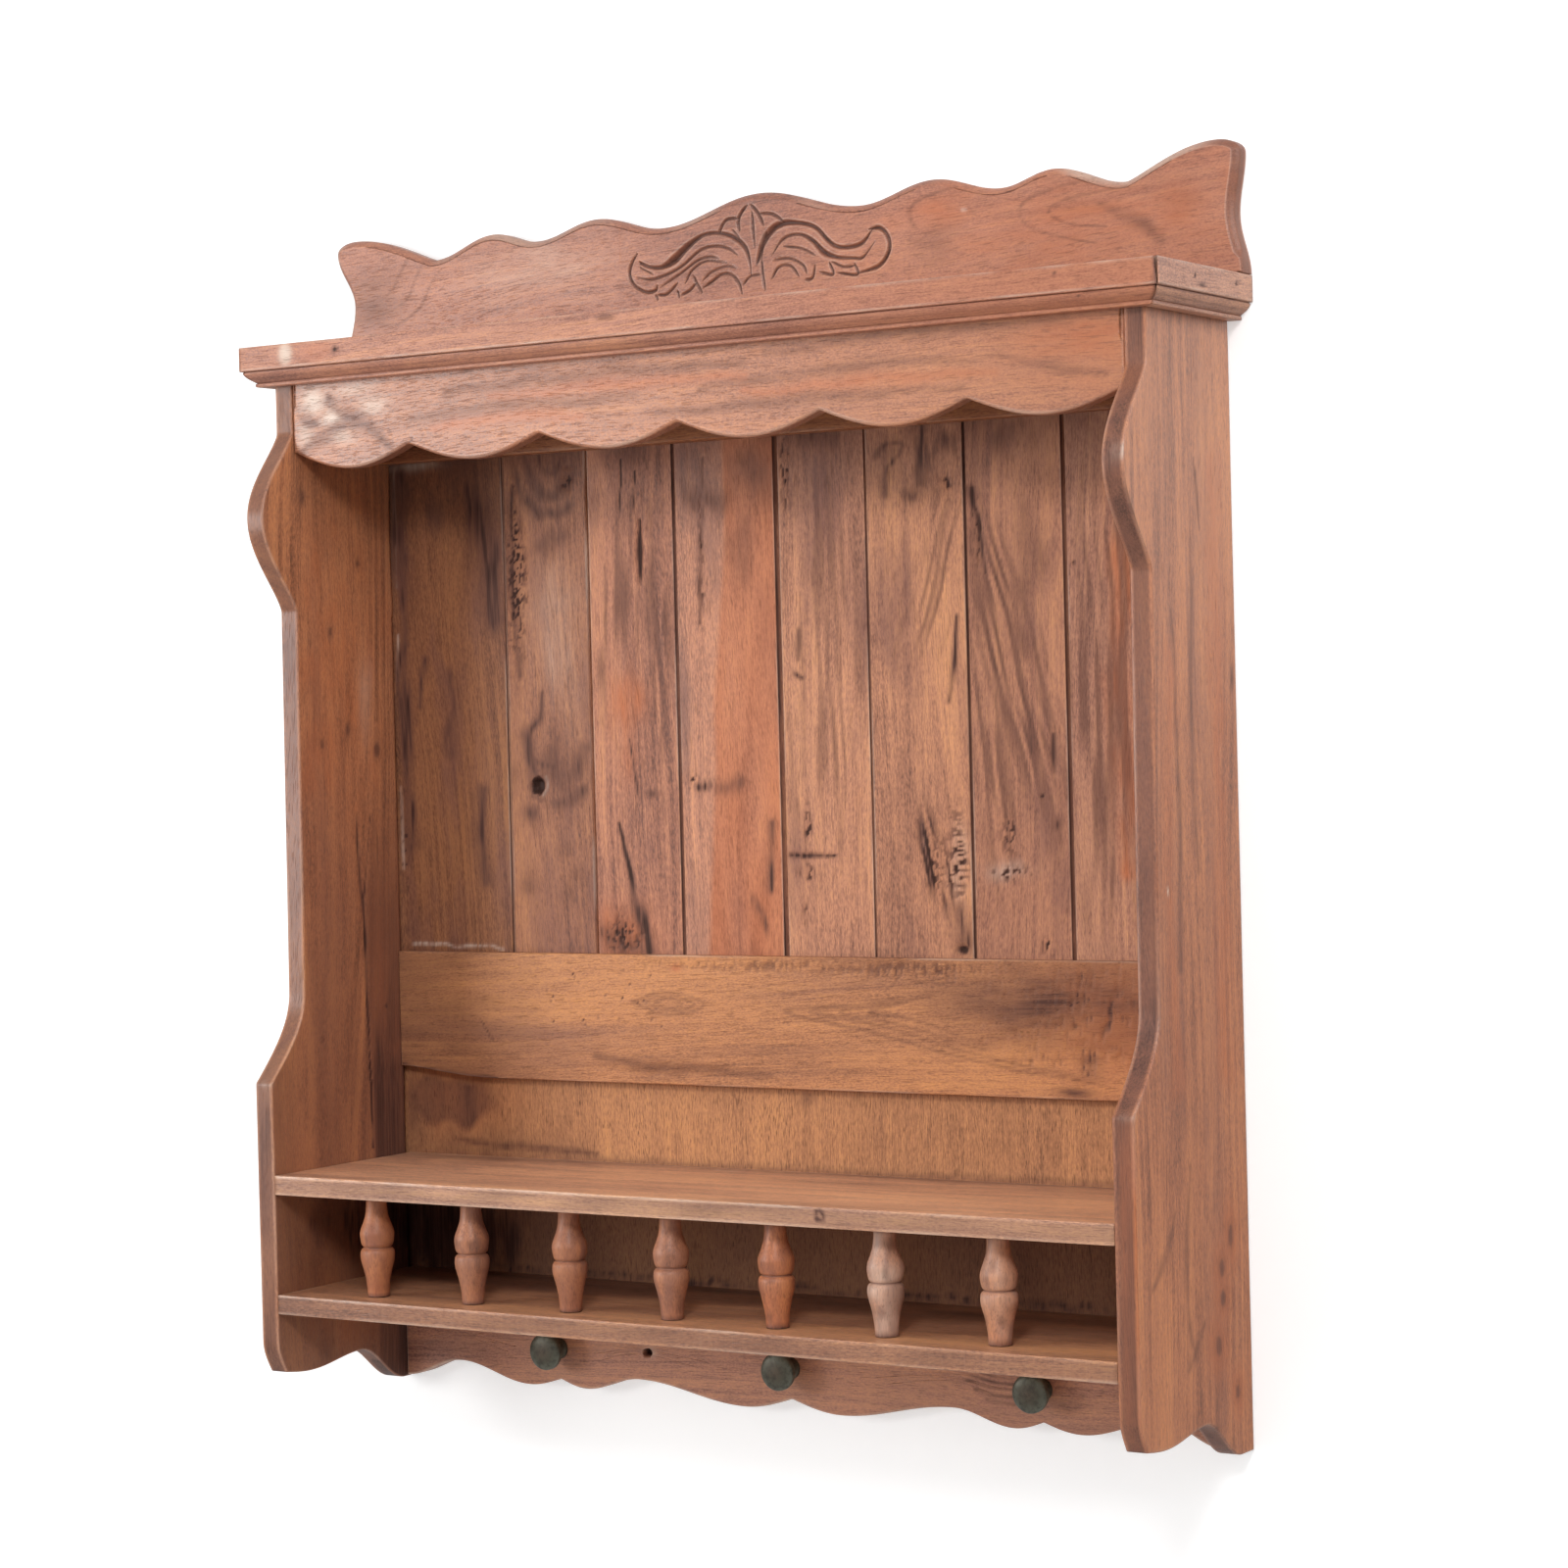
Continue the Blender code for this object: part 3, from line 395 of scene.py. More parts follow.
GRAIN_TURN = {"z": (0, 0, 0), "x": (0, -math.pi / 2, 0), "y": (math.pi / 2, 0, 0)}
# Colours of the marks attribute: the dark marks also carry painted shade, and the pale marks also carry
# painted highlights.
MARK_AND_SHADE_TINT = (0.128, 0.057, 0.042, 1)
BLACKEST_MARK_AND_SHADE = (0.045, 0.022, 0.017, 1)
WEAR_AND_HIGHLIGHT_TINT = (0.68, 0.53, 0.43, 1)
ORANGE = (0.48, 0.142, 0.052, 1)
MAUVE = (0.17, 0.075, 0.062, 1)
PORE = (0.07, 0.03, 0.02, 1)
SAWN = (0.62, 0.38, 0.27, 1)
SHADES = ((0.08, (0.34, 0.34, 0.40)), (0.36, (0.74, 0.72, 0.75)), (0.56, (1.0, 1.0, 0.98)),
          (0.90, (1.30, 1.34, 1.12)))


def timber(name, grain, tone, seed, heart=(0.0, 0.05), tilt=(0.0, 0.0), rings=170, figure=0.9, streaks=0.55,
           fibre=1.0, drift=0.8, dash=260, pores=0.3, saw=0.0, mauve=0.5, patch=(22, 2.4), gloss=0.38,
           pore_size=1400, shine=0.45):
    """Waxed hardwood: growth rings about a heart beside the board, fibres, pores, stains and saw marks, with
    the painted shade and highlights that the marks attribute brings.
    """
    material, make = fresh_material(name)
    along = make.add("ShaderNodeMapping", {"Vector": make.add("ShaderNodeTexCoord", out="Object"),
                                           "Rotation": GRAIN_TURN[grain]})
    stick = make.add("ShaderNodeMapping", {"Vector": along, "Rotation": (*tilt, 0),
                                           "Location": (*heart, 1.37 * seed)})
    sway = make.noise(stick, (7, 7, 1.6), 2.0, out="Color")
    sway = make.vector("MULTIPLY", make.vector("SUBTRACT", sway, (0.5, 0.5, 0.5)), (0.05, 0.05, 0))
    wavy = make.vector("ADD", stick, sway)
    reach = make.vector("LENGTH", make.vector("MULTIPLY", wavy, (1, 1, 0))).node.outputs["Value"]
    ring = make.add("ShaderNodeTexNoise", {"W": reach, "Scale": rings, "Detail": 3.0, "Roughness": 0.6},
                    noise_dimensions="1D")
    band = make.noise(wavy, (85, 85, 2.2), 5.0, 0.65)
    strand = make.noise(wavy, (800, 800, 11), 2.0)
    hair = make.noise(wavy, (950, 950, dash), 2.0, 0.6)
    pore = make.noise(wavy, (pore_size, pore_size, pore_size / 18), 0.0)
    pore = make.add("ShaderNodeMapRange", {"Value": pore, "From Min": 0.62, "From Max": 0.74})
    broad = make.noise(stick, (9, 9, 2.6), 2.0)
    scrape = make.noise(stick, (30, 30, 900), 1.0)
    ring = make.math("SUBTRACT", ring, 0.5)
    shown = make.add("ShaderNodeMapRange", {"Value": make.noise(stick, (16, 16, 5), 1.0), "From Min": 0.38,
                                            "From Max": 0.64, "To Min": 0.15})
    mottle = make.noise(wavy, (75, 75, 38), 2.0)
    weights = ((band, streaks), (strand, 0.5), (hair, fibre), (broad, drift), (mottle, 0.25))
    even = 0.5 - 0.5 * sum(weight for _, weight in weights)
    value = make.math("MULTIPLY_ADD", make.math("MULTIPLY", ring, shown), figure, even)
    for field, weight in weights:
        value = make.math("MULTIPLY_ADD", field, weight, value)
    colour = make.add("ShaderNodeValToRGB", {"Fac": value})
    ramp = colour.node.color_ramp
    while len(ramp.elements) < len(SHADES):
        ramp.elements.new(0.5)
    for element, (place, shade) in zip(ramp.elements, SHADES):
        element.position = place
        element.color = (*(min(t * s, 1) for t, s in zip(tone, shade)), 1)
    smoky = make.add("ShaderNodeMapRange", {"Value": make.noise(wavy, (patch[0], *patch), 3.0),
                                            "From Min": 0.52, "From Max": 0.74, "To Max": mauve})
    colour = make.mix(smoky, colour, MAUVE)
    mark = make.add("ShaderNodeAttribute", out="Color", attribute_name="marks")
    kinds = make.add("ShaderNodeSeparateColor", {"Color": mark}).node.outputs
    grainy = make.math("MULTIPLY_ADD", make.math("ADD", band, strand), 0.6, 0.4)
    colour = make.mix(kinds[RED], colour, ORANGE)
    colour = make.mix(make.math("MULTIPLY", kinds[PALE], grainy, clamp=True), colour, WEAR_AND_HIGHLIGHT_TINT)
    dark = make.math("MULTIPLY", kinds[DARK], grainy, clamp=True)
    colour = make.mix(make.math("MULTIPLY", dark, 1.3, clamp=True), colour, MARK_AND_SHADE_TINT)
    colour = make.mix(make.add("ShaderNodeMapRange", {"Value": dark, "From Min": 0.62, "From Max": 1.0}),
                      colour, BLACKEST_MARK_AND_SHADE)
    colour = make.mix(make.math("MULTIPLY", pore, pores), colour, PORE)
    if saw:
        lines = make.add("ShaderNodeMapRange", {"Value": scrape, "From Min": 0.55, "From Max": 0.72,
                                                "To Max": saw})
        colour = make.mix(lines, colour, SAWN)
    height = make.math("MULTIPLY_ADD", hair, 0.35, make.math("MULTIPLY", band, 0.5))
    height = make.math("MULTIPLY_ADD", pore, -0.5, height)
    height = make.math("MULTIPLY_ADD", scrape, 0.15 + saw, height)
    rough = make.math("MULTIPLY_ADD", hair, 0.22, gloss - 0.11)
    rough = make.math("MULTIPLY_ADD", mark.node.outputs["Alpha"], 0.25, rough)
    rough = make.math("MULTIPLY_ADD", pore, 0.12, rough)
    bump = make.add("ShaderNodeBump", {"Height": height, "Strength": 0.45, "Distance": 0.0006})
    shine_left = make.math("MULTIPLY_ADD", dark, -0.7 * shine, shine)
    make.close(make.add("ShaderNodeBsdfPrincipled", {
        "Base Color": colour, "Roughness": rough, "Normal": bump, "Specular IOR Level": shine_left,
        "Coat Weight": shine / 8, "Coat Roughness": 0.25}))
    return material


front_edge = np.vstack((
    upright_run((LOWER_DEPTH - TOE_ROUND, -TOE_DROP / 2), (LOWER_DEPTH, TOE_TOP), sweep),
    upright_run((LOWER_DEPTH, STEP_TOP), (WAIST_DEPTH, SCOOP_TOP), sweep),
    upright_run((UPPER_DEPTH, WAIST_TOP), (SHOULDER_DEPTH, SHOULDER), swell, 0.65),
    upright_run((UPPER_DEPTH, NECK_FOOT), (SHOULDER_DEPTH, SHOULDER), sweep, 1.25)[::-1],
    [(UPPER_DEPTH, SIDE_H - GAP)]))
sole_low = ((LOWER_DEPTH + NOTCH_DEPTH) / 2 + TOE_ROUND, -TOE_DROP)
sole = np.vstack((
    level_run((LOWER_DEPTH - TOE_ROUND, -TOE_DROP / 2), sole_low, sweep),
    level_run(sole_low, (NOTCH_DEPTH, 0), swell),
    level_run((NOTCH_DEPTH, 0), (LOBE_DEPTH, -LOBE_DROP), swell),
    [(0, -LOBE_DROP)]))
for hand, word in ((-1, "left"), (1, "right")):
    show_x = OUTER if hand > 0 else -INNER
    panel = Board(sole * MIRROR, [(-UPPER_DEPTH, SIDE_H - GAP), (0, SIDE_H - GAP)], front_edge * MIRROR,
                  [(0, -LOBE_DROP), (0, SIDE_H - GAP)], SIDE_T, cells(LOWER_DEPTH, 0.0026),
                  cells(SIDE_H, 0.0022), arris=0.0013, grid_behind=True)
    panel.worn(0.2, 11 + hand, edge_dirt=0.6)
    corner = np.exp(-(np.hypot(panel.a + LOWER_DEPTH, panel.b - STEP_TOP) / 0.0035) ** 2)
    panel.stain(PALE, corner * panel.mist(0.003, 0.003, 9) * 0.6)
    if hand < 0:
        # Painted shade on the inside face: darker towards the bottom, and a dark patch across the spindle
        # bay.
        low = np.clip((0.5 - panel.b) / 0.3, 0, 1)
        panel.stain(DARK, 0.43 * (0.75 + 0.5 * panel.mist(0.02, 0.06, 14)) * low * (panel.edge == 0))
        panel.spot(DARK, (-60, 105), (95, 45), 0.75, ragged=0.5)
        panel.spot(DARK, (-150, 205), (14, 26), 0.5, ragged=0.8)
        crack = np.interp(panel.b, (0.168, 0.284, 0.367, 0.449), (-0.054, -0.056, -0.059, -0.046))
        back_strip = np.clip((panel.a - crack) / 0.004, 0, 1) * np.clip((0.49 - panel.b) / 0.12, 0, 1)
        panel.paint[:, DARK] += 0.28 * back_strip * (panel.d < 0.012)
        panel.stain(RED, 0.7 * back_strip * panel.mist(0.02, 0.08, 16))
        panel.spot(RED, (-60, 40), (80, 40), 0.6, ragged=0.6)
        panel.streak(DARK, [(-66, 449), (-64, 416), (-59, 367), (-56, 284), (-54, 168)],
                     (0.8, 1.4, 2.2, 2.0, 2.4), 0.95, 0.5)
        panel.streak(DARK, [(-46, 449), (-53, 408), (-58, 379)], (0.6, 1.2, 1.6), 0.85, 0.4)
        panel.streak(DARK, [(-40, 430), (-42, 330), (-46, 250)], (3, 7, 3), 0.45)
        panel.streak(DARK, [(-45, 288), (-28, 286)], 4, 0.6, ragged=0.8)
        panel.spot(PALE, (-48, 545), (9, 34), 0.22, ragged=0.5)
        panel.spot(RED, (-80, 560), (60, 130), 0.35, ragged=0.8)
        for middle, size in (((-54, 659), (4, 6)), ((-73, 519), (5, 9)), ((-35, 502), (7, 11)),
                             ((-116, 264), (5, 8)), ((-92, 601), (4, 7)), ((-107, 508), (4, 7)),
                             ((-124, 712), (5, 9))):
            panel.knot(middle, size, amount=0.6)
    else:
        for middle, size in (((-31, 132), (7, 15)), ((-47, 110), (8, 12)), ((-46, 88), (8, 11)),
                             ((-55, 54), (9, 13)), ((-25, 16), (6, 10))):
            panel.spot(RED, middle, (1.8 * size[0], 1.8 * size[1]), 0.8, ragged=0.2)
            panel.knot(middle, size, amount=0.6)
        panel.streak(DARK, [(-64, 699), (-58, 673), (-55, 648)], (1.2, 2.4, 1.2), 0.6, ragged=0.5)
        panel.spot(DARK, (-7, 541), (3, 9), 0.7, ragged=0.3)
        for i, line in enumerate(([(-121, 160), (-137, 129), (-157, 107)], [(-78, 74), (-104, 44)],
                                  [(-95, 190), (-105, 120), (-98, 60)], [(-70, 640), (-76, 520), (-70, 400)],
                                  [(-105, 590), (-98, 450), (-104, 330)])):
            panel.streak(DARK, line, (2, 5, 2), 0.4, ragged=0.6, seed=19 + i)
        panel.streak(RED, [(-30, 700), (-34, 500), (-30, 250)], 12, 0.5, ragged=0.5)
        panel.streak(RED, [(-110, 560), (-116, 400), (-112, 250)], 9, 0.4, ragged=0.6)
        panel.stain(RED, 0.5 * panel.edge * (panel.b < STEP_TOP) * (panel.a < -0.12)
                    * (0.5 + panel.mist(0.02, 0.05, 17)))
        # The pale mark on the shoulder's edge is a painted highlight over a small chip.
        tip = panel.edge * (panel.a < -0.15) * (panel.b > 0.5)
        panel.stain(PALE, 0.6 * tip * np.exp(-((panel.b - 0.699) / 0.007) ** 2)
                    * (0.3 + panel.mist(0.004, 0.004, 27)))
        panel.stain(DARK, 0.45 * tip * np.exp(-((panel.b - 0.660) / 0.022) ** 2)
                    * (0.6 + panel.mist(0.01, 0.01, 18)))
        # Painted light: the outer face lighter towards the top.
        panel.stain(PALE, 0.07 * np.clip((panel.b - 0.5) / 0.2, 0, 1) * (panel.edge == 0))
        panel.streak(PALE, [(-142, 412), (-141, 403), (-140, 396)], 1.0, 1.0, ragged=0.2)
        panel.streak(PALE, [(-121, 391), (-119, 385)], 0.8, 0.9, ragged=0.2)
    wood = timber(f"side_wood_{word}", "z", SIDE_TONES[hand], 3 + hand, (-hand * OUTER + 0.03, 0.09),
                  (0.015, 0.03 * hand), rings=190, figure=0.9, streaks=0.85, drift=0.9)

    def set_side(a, b, d, show_x=show_x, hand=hand):
        x = show_x - d
        lap = hand * np.maximum(np.abs(x), INNER + REBATE_W)
        return np.where(a > -REBATE_D, lap, x), a, b + feet

    panel.finish(f"shouldered_side_{word}", set_side, wood, "hardwood", f"side_panel_{word}")

# Shelves: two planed boards between the sides, tongued into stopped housings.
# Their front edges still show the saw, and the lower arrises are rubbed pale.
SHELF_T = 0.016
SHELF_BACK = 0.0053
SHELF_TOPS = {"lower": 0.0615, "upper": 0.1587}
# The upper shelf is given a paler tone than the lower as painted light on its top.
SHELF_TONES_WITH_PAINTED_LIGHT = {"lower": (0.55, 0.262, 0.142), "upper": (0.71, 0.375, 0.225)}
shelf_end = INNER - GAP
for seed, (word, top) in enumerate(SHELF_TOPS.items()):
    front, back = -LOWER_DEPTH, -SHELF_BACK
    plank = Board(*straight(-shelf_end, shelf_end, front, back), SHELF_T, cells(2 * INNER, 0.003),
                  cells(LOWER_DEPTH, 0.003), arris=0.0009, level_grain=True)
    plank.worn(0.4, 21 + seed, edge_dirt=0.45)
    if word == "upper":
        eye = np.hypot((plank.a - 0.139) / 0.0042, (plank.d - 0.0064) / 0.0048)
        eye = eye + 3 * (plank.b > front + 0.002)
        plank.stain(DARK, 0.8 * np.exp(-((eye - 0.9) / 0.3) ** 2) + 0.3 * (eye < 0.8))
        plank.streak(PALE, [(-60, -20), (-30, -24)], 1.2, 0.8)
    else:
        # Painted shade: the lower shelf darker towards the back, under the upper shelf.
        plank.stain(DARK, 0.45 * np.clip((plank.b + 0.125) / 0.08, 0, 1)
                    * (0.5 + plank.mist(0.02, 0.06, 28)))
    plank.spot(DARK, (-300, -20), (90, 18), 0.35)
    plank.spot(DARK, (150, -12), (220, 9), 0.35)
    wood = timber(f"shelf_wood_{word}", "x", SHELF_TONES_WITH_PAINTED_LIGHT[word], 7 + seed, (0.02, 0.07), (0.02, 0.02),
                  rings=150, streaks=0.9, saw=0.05, gloss=0.36)
    plank.finish(f"shelf_board_{word}", lying(top), wood, "hardwood", f"{word}_shelf")

# Spindles: seven turned double vases with a ring between the bulbs, let into both shelves with round tenons.
# Turned by hand from the same hardwood, so no two are quite alike; wax has greyed in the hollows.
SPINDLES = 7
SPINDLE_H = 0.0812
SPINDLE_R = 0.0139
SPINDLE_PITCH = 2 * INNER / (SPINDLES + 1)
SPINDLE_SHIFT = 0.014
SPINDLE_Y = -0.153
SPINDLE_PROFILE = ((0.0, 0.63), (0.06, 0.64), (0.157, 0.70), (0.26, 0.82), (0.325, 0.92), (0.37, 0.98),
                   (0.41, 1.0), (0.445, 0.985), (0.468, 0.93), (0.481, 0.86), (0.489, 0.79), (0.497, 0.79),
                   (0.505, 0.86), (0.53, 0.925), (0.57, 0.97), (0.62, 1.0), (0.66, 0.965), (0.70, 0.89),
                   (0.76, 0.76), (0.82, 0.66), (0.88, 0.615), (0.94, 0.60), (1.0, 0.60))
SPINDLE_GROOVE = 0.493


def turnery(name, profile, steps, sides):
    """Geometry Nodes tree that turns a profile about +Z and sets copies of it in a row."""
    tree = bpy.data.node_groups.new(name, "GeometryNodeTree")
    tree.interface.new_socket(name="Turned", in_out="OUTPUT", socket_type="NodeSocketGeometry")
    kinds = {"Copies": "Int", "Length": "Float", "Radius": "Float", "First": "Vector", "Step": "Vector",
             "Turn": "Vector", "Unevenness": "Float", "Groove": "Float", "Wood": "Material"}
    ids = {}
    for label, kind in kinds.items():
        ids[label] = tree.interface.new_socket(name=label, in_out="INPUT",
                                               socket_type=f"NodeSocket{kind}").identifier
    make = Recipe(tree)
    given = tree.nodes.new("NodeGroupInput").outputs
    top = make.add("ShaderNodeCombineXYZ", {"Z": given["Length"]})
    axis = make.add("GeometryNodeCurvePrimitiveLine", {"Start": (0, 0, 0), "End": top})
    axis = make.add("GeometryNodeResampleCurve", {"Curve": axis, "Count": steps})
    share = make.add("GeometryNodeSplineParameter", out="Factor")
    girth = make.add("ShaderNodeFloatCurve", {"Factor": 1.0, "Value": share})
    shape = girth.node.mapping.curves[0].points
    while len(shape) < len(profile):
        shape.new(0.5, 0.5)
    for point, (place, radius) in zip(shape, profile):
        point.location = (place, radius)
        point.handle_type = "AUTO_CLAMPED"
    girth.node.mapping.update()
    radius = make.math("MULTIPLY", girth, given["Radius"])
    away = make.math("ABSOLUTE", make.math("SUBTRACT", share, given["Groove"]))
    dirt = make.add("ShaderNodeMapRange", {"Value": away, "From Min": 0.003, "From Max": 0.014,
                                           "To Min": 0.6, "To Max": 0.0})
    end = make.math("ABSOLUTE", make.math("SUBTRACT", share, 0.5))
    end = make.add("ShaderNodeMapRange", {"Value": end, "From Min": 0.43, "From Max": 0.5, "To Max": 0.7})
    dirt = make.add("FunctionNodeCombineColor", {"Red": make.math("MAXIMUM", dirt, end)})
    axis = make.add("GeometryNodeStoreNamedAttribute", {"Geometry": axis, "Name": "marks", "Value": dirt},
                    data_type="FLOAT_COLOR", domain="POINT")
    ring = make.add("GeometryNodeCurvePrimitiveCircle", {"Resolution": sides, "Radius": 1.0})
    one = make.add("GeometryNodeCurveToMesh", {"Curve": axis, "Profile Curve": ring, "Scale": radius,
                                               "Fill Caps": True})
    row = make.add("GeometryNodeMeshLine", {"Count": given["Copies"], "Start Location": given["First"],
                                            "Offset": given["Step"]})
    spin = make.add("FunctionNodeRandomValue", {"Min": (0, 0, 0), "Max": (0, 0, 6.28), "Seed": 4},
                    data_type="FLOAT_VECTOR")
    spin = make.add("FunctionNodeEulerToRotation", {"Euler": spin})
    tip = make.add("FunctionNodeEulerToRotation", {"Euler": given["Turn"]})
    spin = make.add("FunctionNodeRotateRotation", {"Rotation": tip, "Rotate By": spin},
                    rotation_space="LOCAL")
    row = make.add("GeometryNodeInstanceOnPoints", {"Points": row, "Instance": one, "Rotation": spin})
    row = make.add("GeometryNodeRealizeInstances", {"Geometry": row})
    here = make.add("GeometryNodeInputPosition")
    lumps = make.add("ShaderNodeTexNoise", {"Vector": here, "Scale": 110.0, "Detail": 2.0}, "Color")
    lumps = make.vector("SUBTRACT", lumps, (0.5, 0.5, 0.5))
    lumps = make.vector("SCALE", lumps)
    tree.links.new(given["Unevenness"], lumps.node.inputs["Scale"])
    row = make.add("GeometryNodeSetPosition", {"Geometry": row, "Offset": lumps})
    row = make.add("GeometryNodeSetShadeSmooth", {"Geometry": row})
    row = make.add("GeometryNodeSetMaterial", {"Geometry": row, "Material": given["Wood"]})
    tree.links.new(row, tree.nodes.new("NodeGroupOutput").inputs["Turned"])
    return tree, ids


def turn_row(name, tree, ids, sizes, nodes):
    """Run a turnery tree with its sizes and keep the result as a plain mesh."""
    maker = bpy.data.objects.new(name, bpy.data.meshes.new(name))
    bpy.context.scene.collection.objects.link(maker)
    modifier = maker.modifiers.new("turnery", "NODES")
    modifier.node_group = tree
    for label, value in sizes.items():
        modifier[ids[label]] = value
    ready = maker.evaluated_get(bpy.context.evaluated_depsgraph_get())
    mesh = bpy.data.meshes.new_from_object(ready)
    maker.modifiers.remove(modifier)
    maker.data = mesh
    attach(maker, "root")
    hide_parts(*nodes)
    return maker


spindle_wood = timber("spindle_wood", "z", (0.48, 0.185, 0.084), 12, (0.01, 0.16), rings=300, figure=1.0,
                      streaks=1.3, drift=1.1, mauve=0.9, patch=(70, 26), gloss=0.27, shine=0.5)
spindle_tree, spindle_ids = turnery("turned_spindles", SPINDLE_PROFILE, 110, 40)
spindles = turn_row("turned_spindles", spindle_tree, spindle_ids, {
    "Copies": SPINDLES, "Length": SPINDLE_H - 2 * GAP, "Radius": SPINDLE_R,
    "First": (SPINDLE_PITCH - INNER - SPINDLE_SHIFT, SPINDLE_Y, feet + SHELF_TOPS["lower"] + GAP),
    "Step": (SPINDLE_PITCH, 0.0, 0.0), "Turn": (0.0, 0.0, 0.0), "Unevenness": 0.0004,
    "Groove": SPINDLE_GROOVE, "Wood": spindle_wood,
}, [f"spindle_{i + 1}" for i in range(SPINDLES)])
SPINDLE_MARKS = ((0.2, 0, 0.35), (0.2, 0.06, 0.2), (0.25, 0.04, 0.3), (0.15, 0.08, 0.25), (0, 0, 0.4),
                 (0, 0.42, 0.22), (0, 0.22, 0.16))
count = len(spindles.data.vertices)
places, marks = np.empty(count * 3), np.empty(count * 4)
spindles.data.vertices.foreach_get("co", places)
spindles.data.attributes["marks"].data.foreach_get("color", marks)
places, marks = places.reshape(-1, 3), marks.reshape(-1, 4)
number = np.rint((places[:, 0] + INNER + SPINDLE_SHIFT) / SPINDLE_PITCH).astype(int) - 1
patchy = 0.5 + cloud(places[:, 0] / 0.008, places[:, 2] / 0.012, 33)
own = np.asarray(SPINDLE_MARKS, float)[np.clip(number, 0, SPINDLES - 1)]
marks[:, :3] = np.maximum(marks[:, :3], own * patchy[:, None])
mottled = np.clip(cloud(places[:, 0] / 0.0045, places[:, 2] / 0.010, 34) * 1.7 - 0.75, 0, 1)
marks[:, DARK] = np.maximum(marks[:, DARK], 0.5 * mottled)
spindles.data.attributes["marks"].data.foreach_set("color", marks.astype(np.float32).ravel())

# Plywood lower back: one thin sheet, face grain upright, lapped into the sides and behind the rail.
# Bare but for wax and stained at its left end, with a dark joint along the upper shelf; the spindle bay and
# its crease along the lower shelf carry painted shade.
PLY_T = 0.005
PLY_FOOT, PLY_TOP = 0.0455, 0.237
LAP = 0.3902
sheet = Board(*straight(-LAP, LAP, PLY_FOOT, PLY_TOP), PLY_T, cells(2 * LAP, 0.003),
              cells(PLY_TOP - PLY_FOOT, 0.003), arris=0.0004)
sheet.worn(0.0, 31)
sheet.spot(DARK, (-376, 195), (9, 34), 0.6, ragged=0.3)
pool = np.hypot((sheet.a + 0.336) / 0.052, (sheet.b - 0.204) / 0.024)
pool = pool + 0.5 * (sheet.mist(0.02, 0.03, 34) - 0.5)
sheet.stain(DARK, 0.66 * np.clip((1.15 - pool) / 0.36, 0, 1) * (0.72 + 0.3 * sheet.mist(0.016, 0.03, 35)))
sheet.spot(RED, (-336, 204), (60, 28), 0.45, ragged=0.3)
sheet.streak(DARK, [(-330, 170), (-256, 167), (-187, 165)], (4, 5, 3), 0.6, ragged=0.3)
sheet.streak(DARK, [(-382, 161), (0, 160), (382, 161)], 2.5, 0.4, ragged=0.3)
sheet.spot(DARK, (20, 217), (7, 6), 0.4, ragged=0.3)
# Painted shade across the spindle bay, darkest at its left end and in the crease along the lower shelf.
sheet.stain(DARK, 0.42 * (sheet.b < 0.15) * (0.8 + 0.4 * sheet.mist(0.05, 0.05, 36)))
sheet.spot(DARK, (-350, 95), (120, 70), 0.95, ragged=0.3)
sheet.streak(DARK, [(-382, 66), (0, 65), (382, 66)], 6, 0.65, ragged=0.5)
ply_face = timber("ply_face", "z", (0.52, 0.24, 0.11), 15, (0.3, 0.5), rings=60, figure=0.3, streaks=0.3,
                  fibre=0.75, drift=0.5, pores=0.6, mauve=0.1, gloss=0.55, pore_size=2100, shine=0.2)
sheet.finish("plywood_sheet", facing_room(PLY_T), ply_face, "plywood", "plywood_back")

# Back rail: a stout board across the back, rebated behind for the boards above and the plywood below.
# Old wood with worm holes, chips along its upper edge and an uneven lower edge that lifts at the left.
RAIL_FOOT, RAIL_TOP, RAIL_T, RAIL_ARRIS = 0.225, 0.3305, 0.0144, 0.0012
BOARD_T = 0.008
BOARD_FOOT, BOARD_TOP = 0.3185, 0.8169
RAIL_LIFT, RAIL_LIFT_END = 0.0082, 0.100
lift = level_run((-shelf_end, RAIL_FOOT + RAIL_LIFT), (RAIL_LIFT_END - shelf_end, RAIL_FOOT), swell, 0.7)
rail = Board(np.vstack((lift, [(shelf_end, RAIL_FOOT)])), [(-shelf_end, RAIL_TOP), (shelf_end, RAIL_TOP)],
             [(-shelf_end, RAIL_FOOT + RAIL_LIFT), (-shelf_end, RAIL_TOP)],
             [(shelf_end, RAIL_FOOT), (shelf_end, RAIL_TOP)], RAIL_T, cells(2 * INNER, 0.0019),
             cells(RAIL_TOP - RAIL_FOOT, 0.0019), arris=RAIL_ARRIS, grid_behind=True, level_grain=True)
rail.worn(0.35, 41, edge_dirt=0.5)
# Painted shade from the left side: the rail darker towards its left end.
rail.stain(DARK, 0.4 * np.clip((-0.17 - rail.a) / 0.2, 0, 1) * (0.6 + 0.8 * rail.mist(0.01, 0.04, 42)))
rail.streak(DARK, [(-379, 249), (-320, 247), (-257, 244)], (4, 6, 3), 0.42, ragged=0.4)
rail.streak(DARK, [(-380, 234), (-335, 230), (-280, 226)], (2, 3, 2), 0.6, ragged=0.4)
rail.spot(DARK, (-378, 285), (9, 40), 0.45, ragged=0.4)
worm_holes = np.random.RandomState(5)
for i in range(26):
    rail.spot(DARK, (worm_holes.uniform(-224, -108), worm_holes.uniform(262, 318)), (0.9, 0.9), 1.0, 0.8,
              ragged=0.1)
rail.spot(RED, (-96, 320), (5, 3), 0.8)
rail.streak(DARK, [(-297, 275), (-290, 265), (-284, 257)], 0.7, 0.9, 0.4)
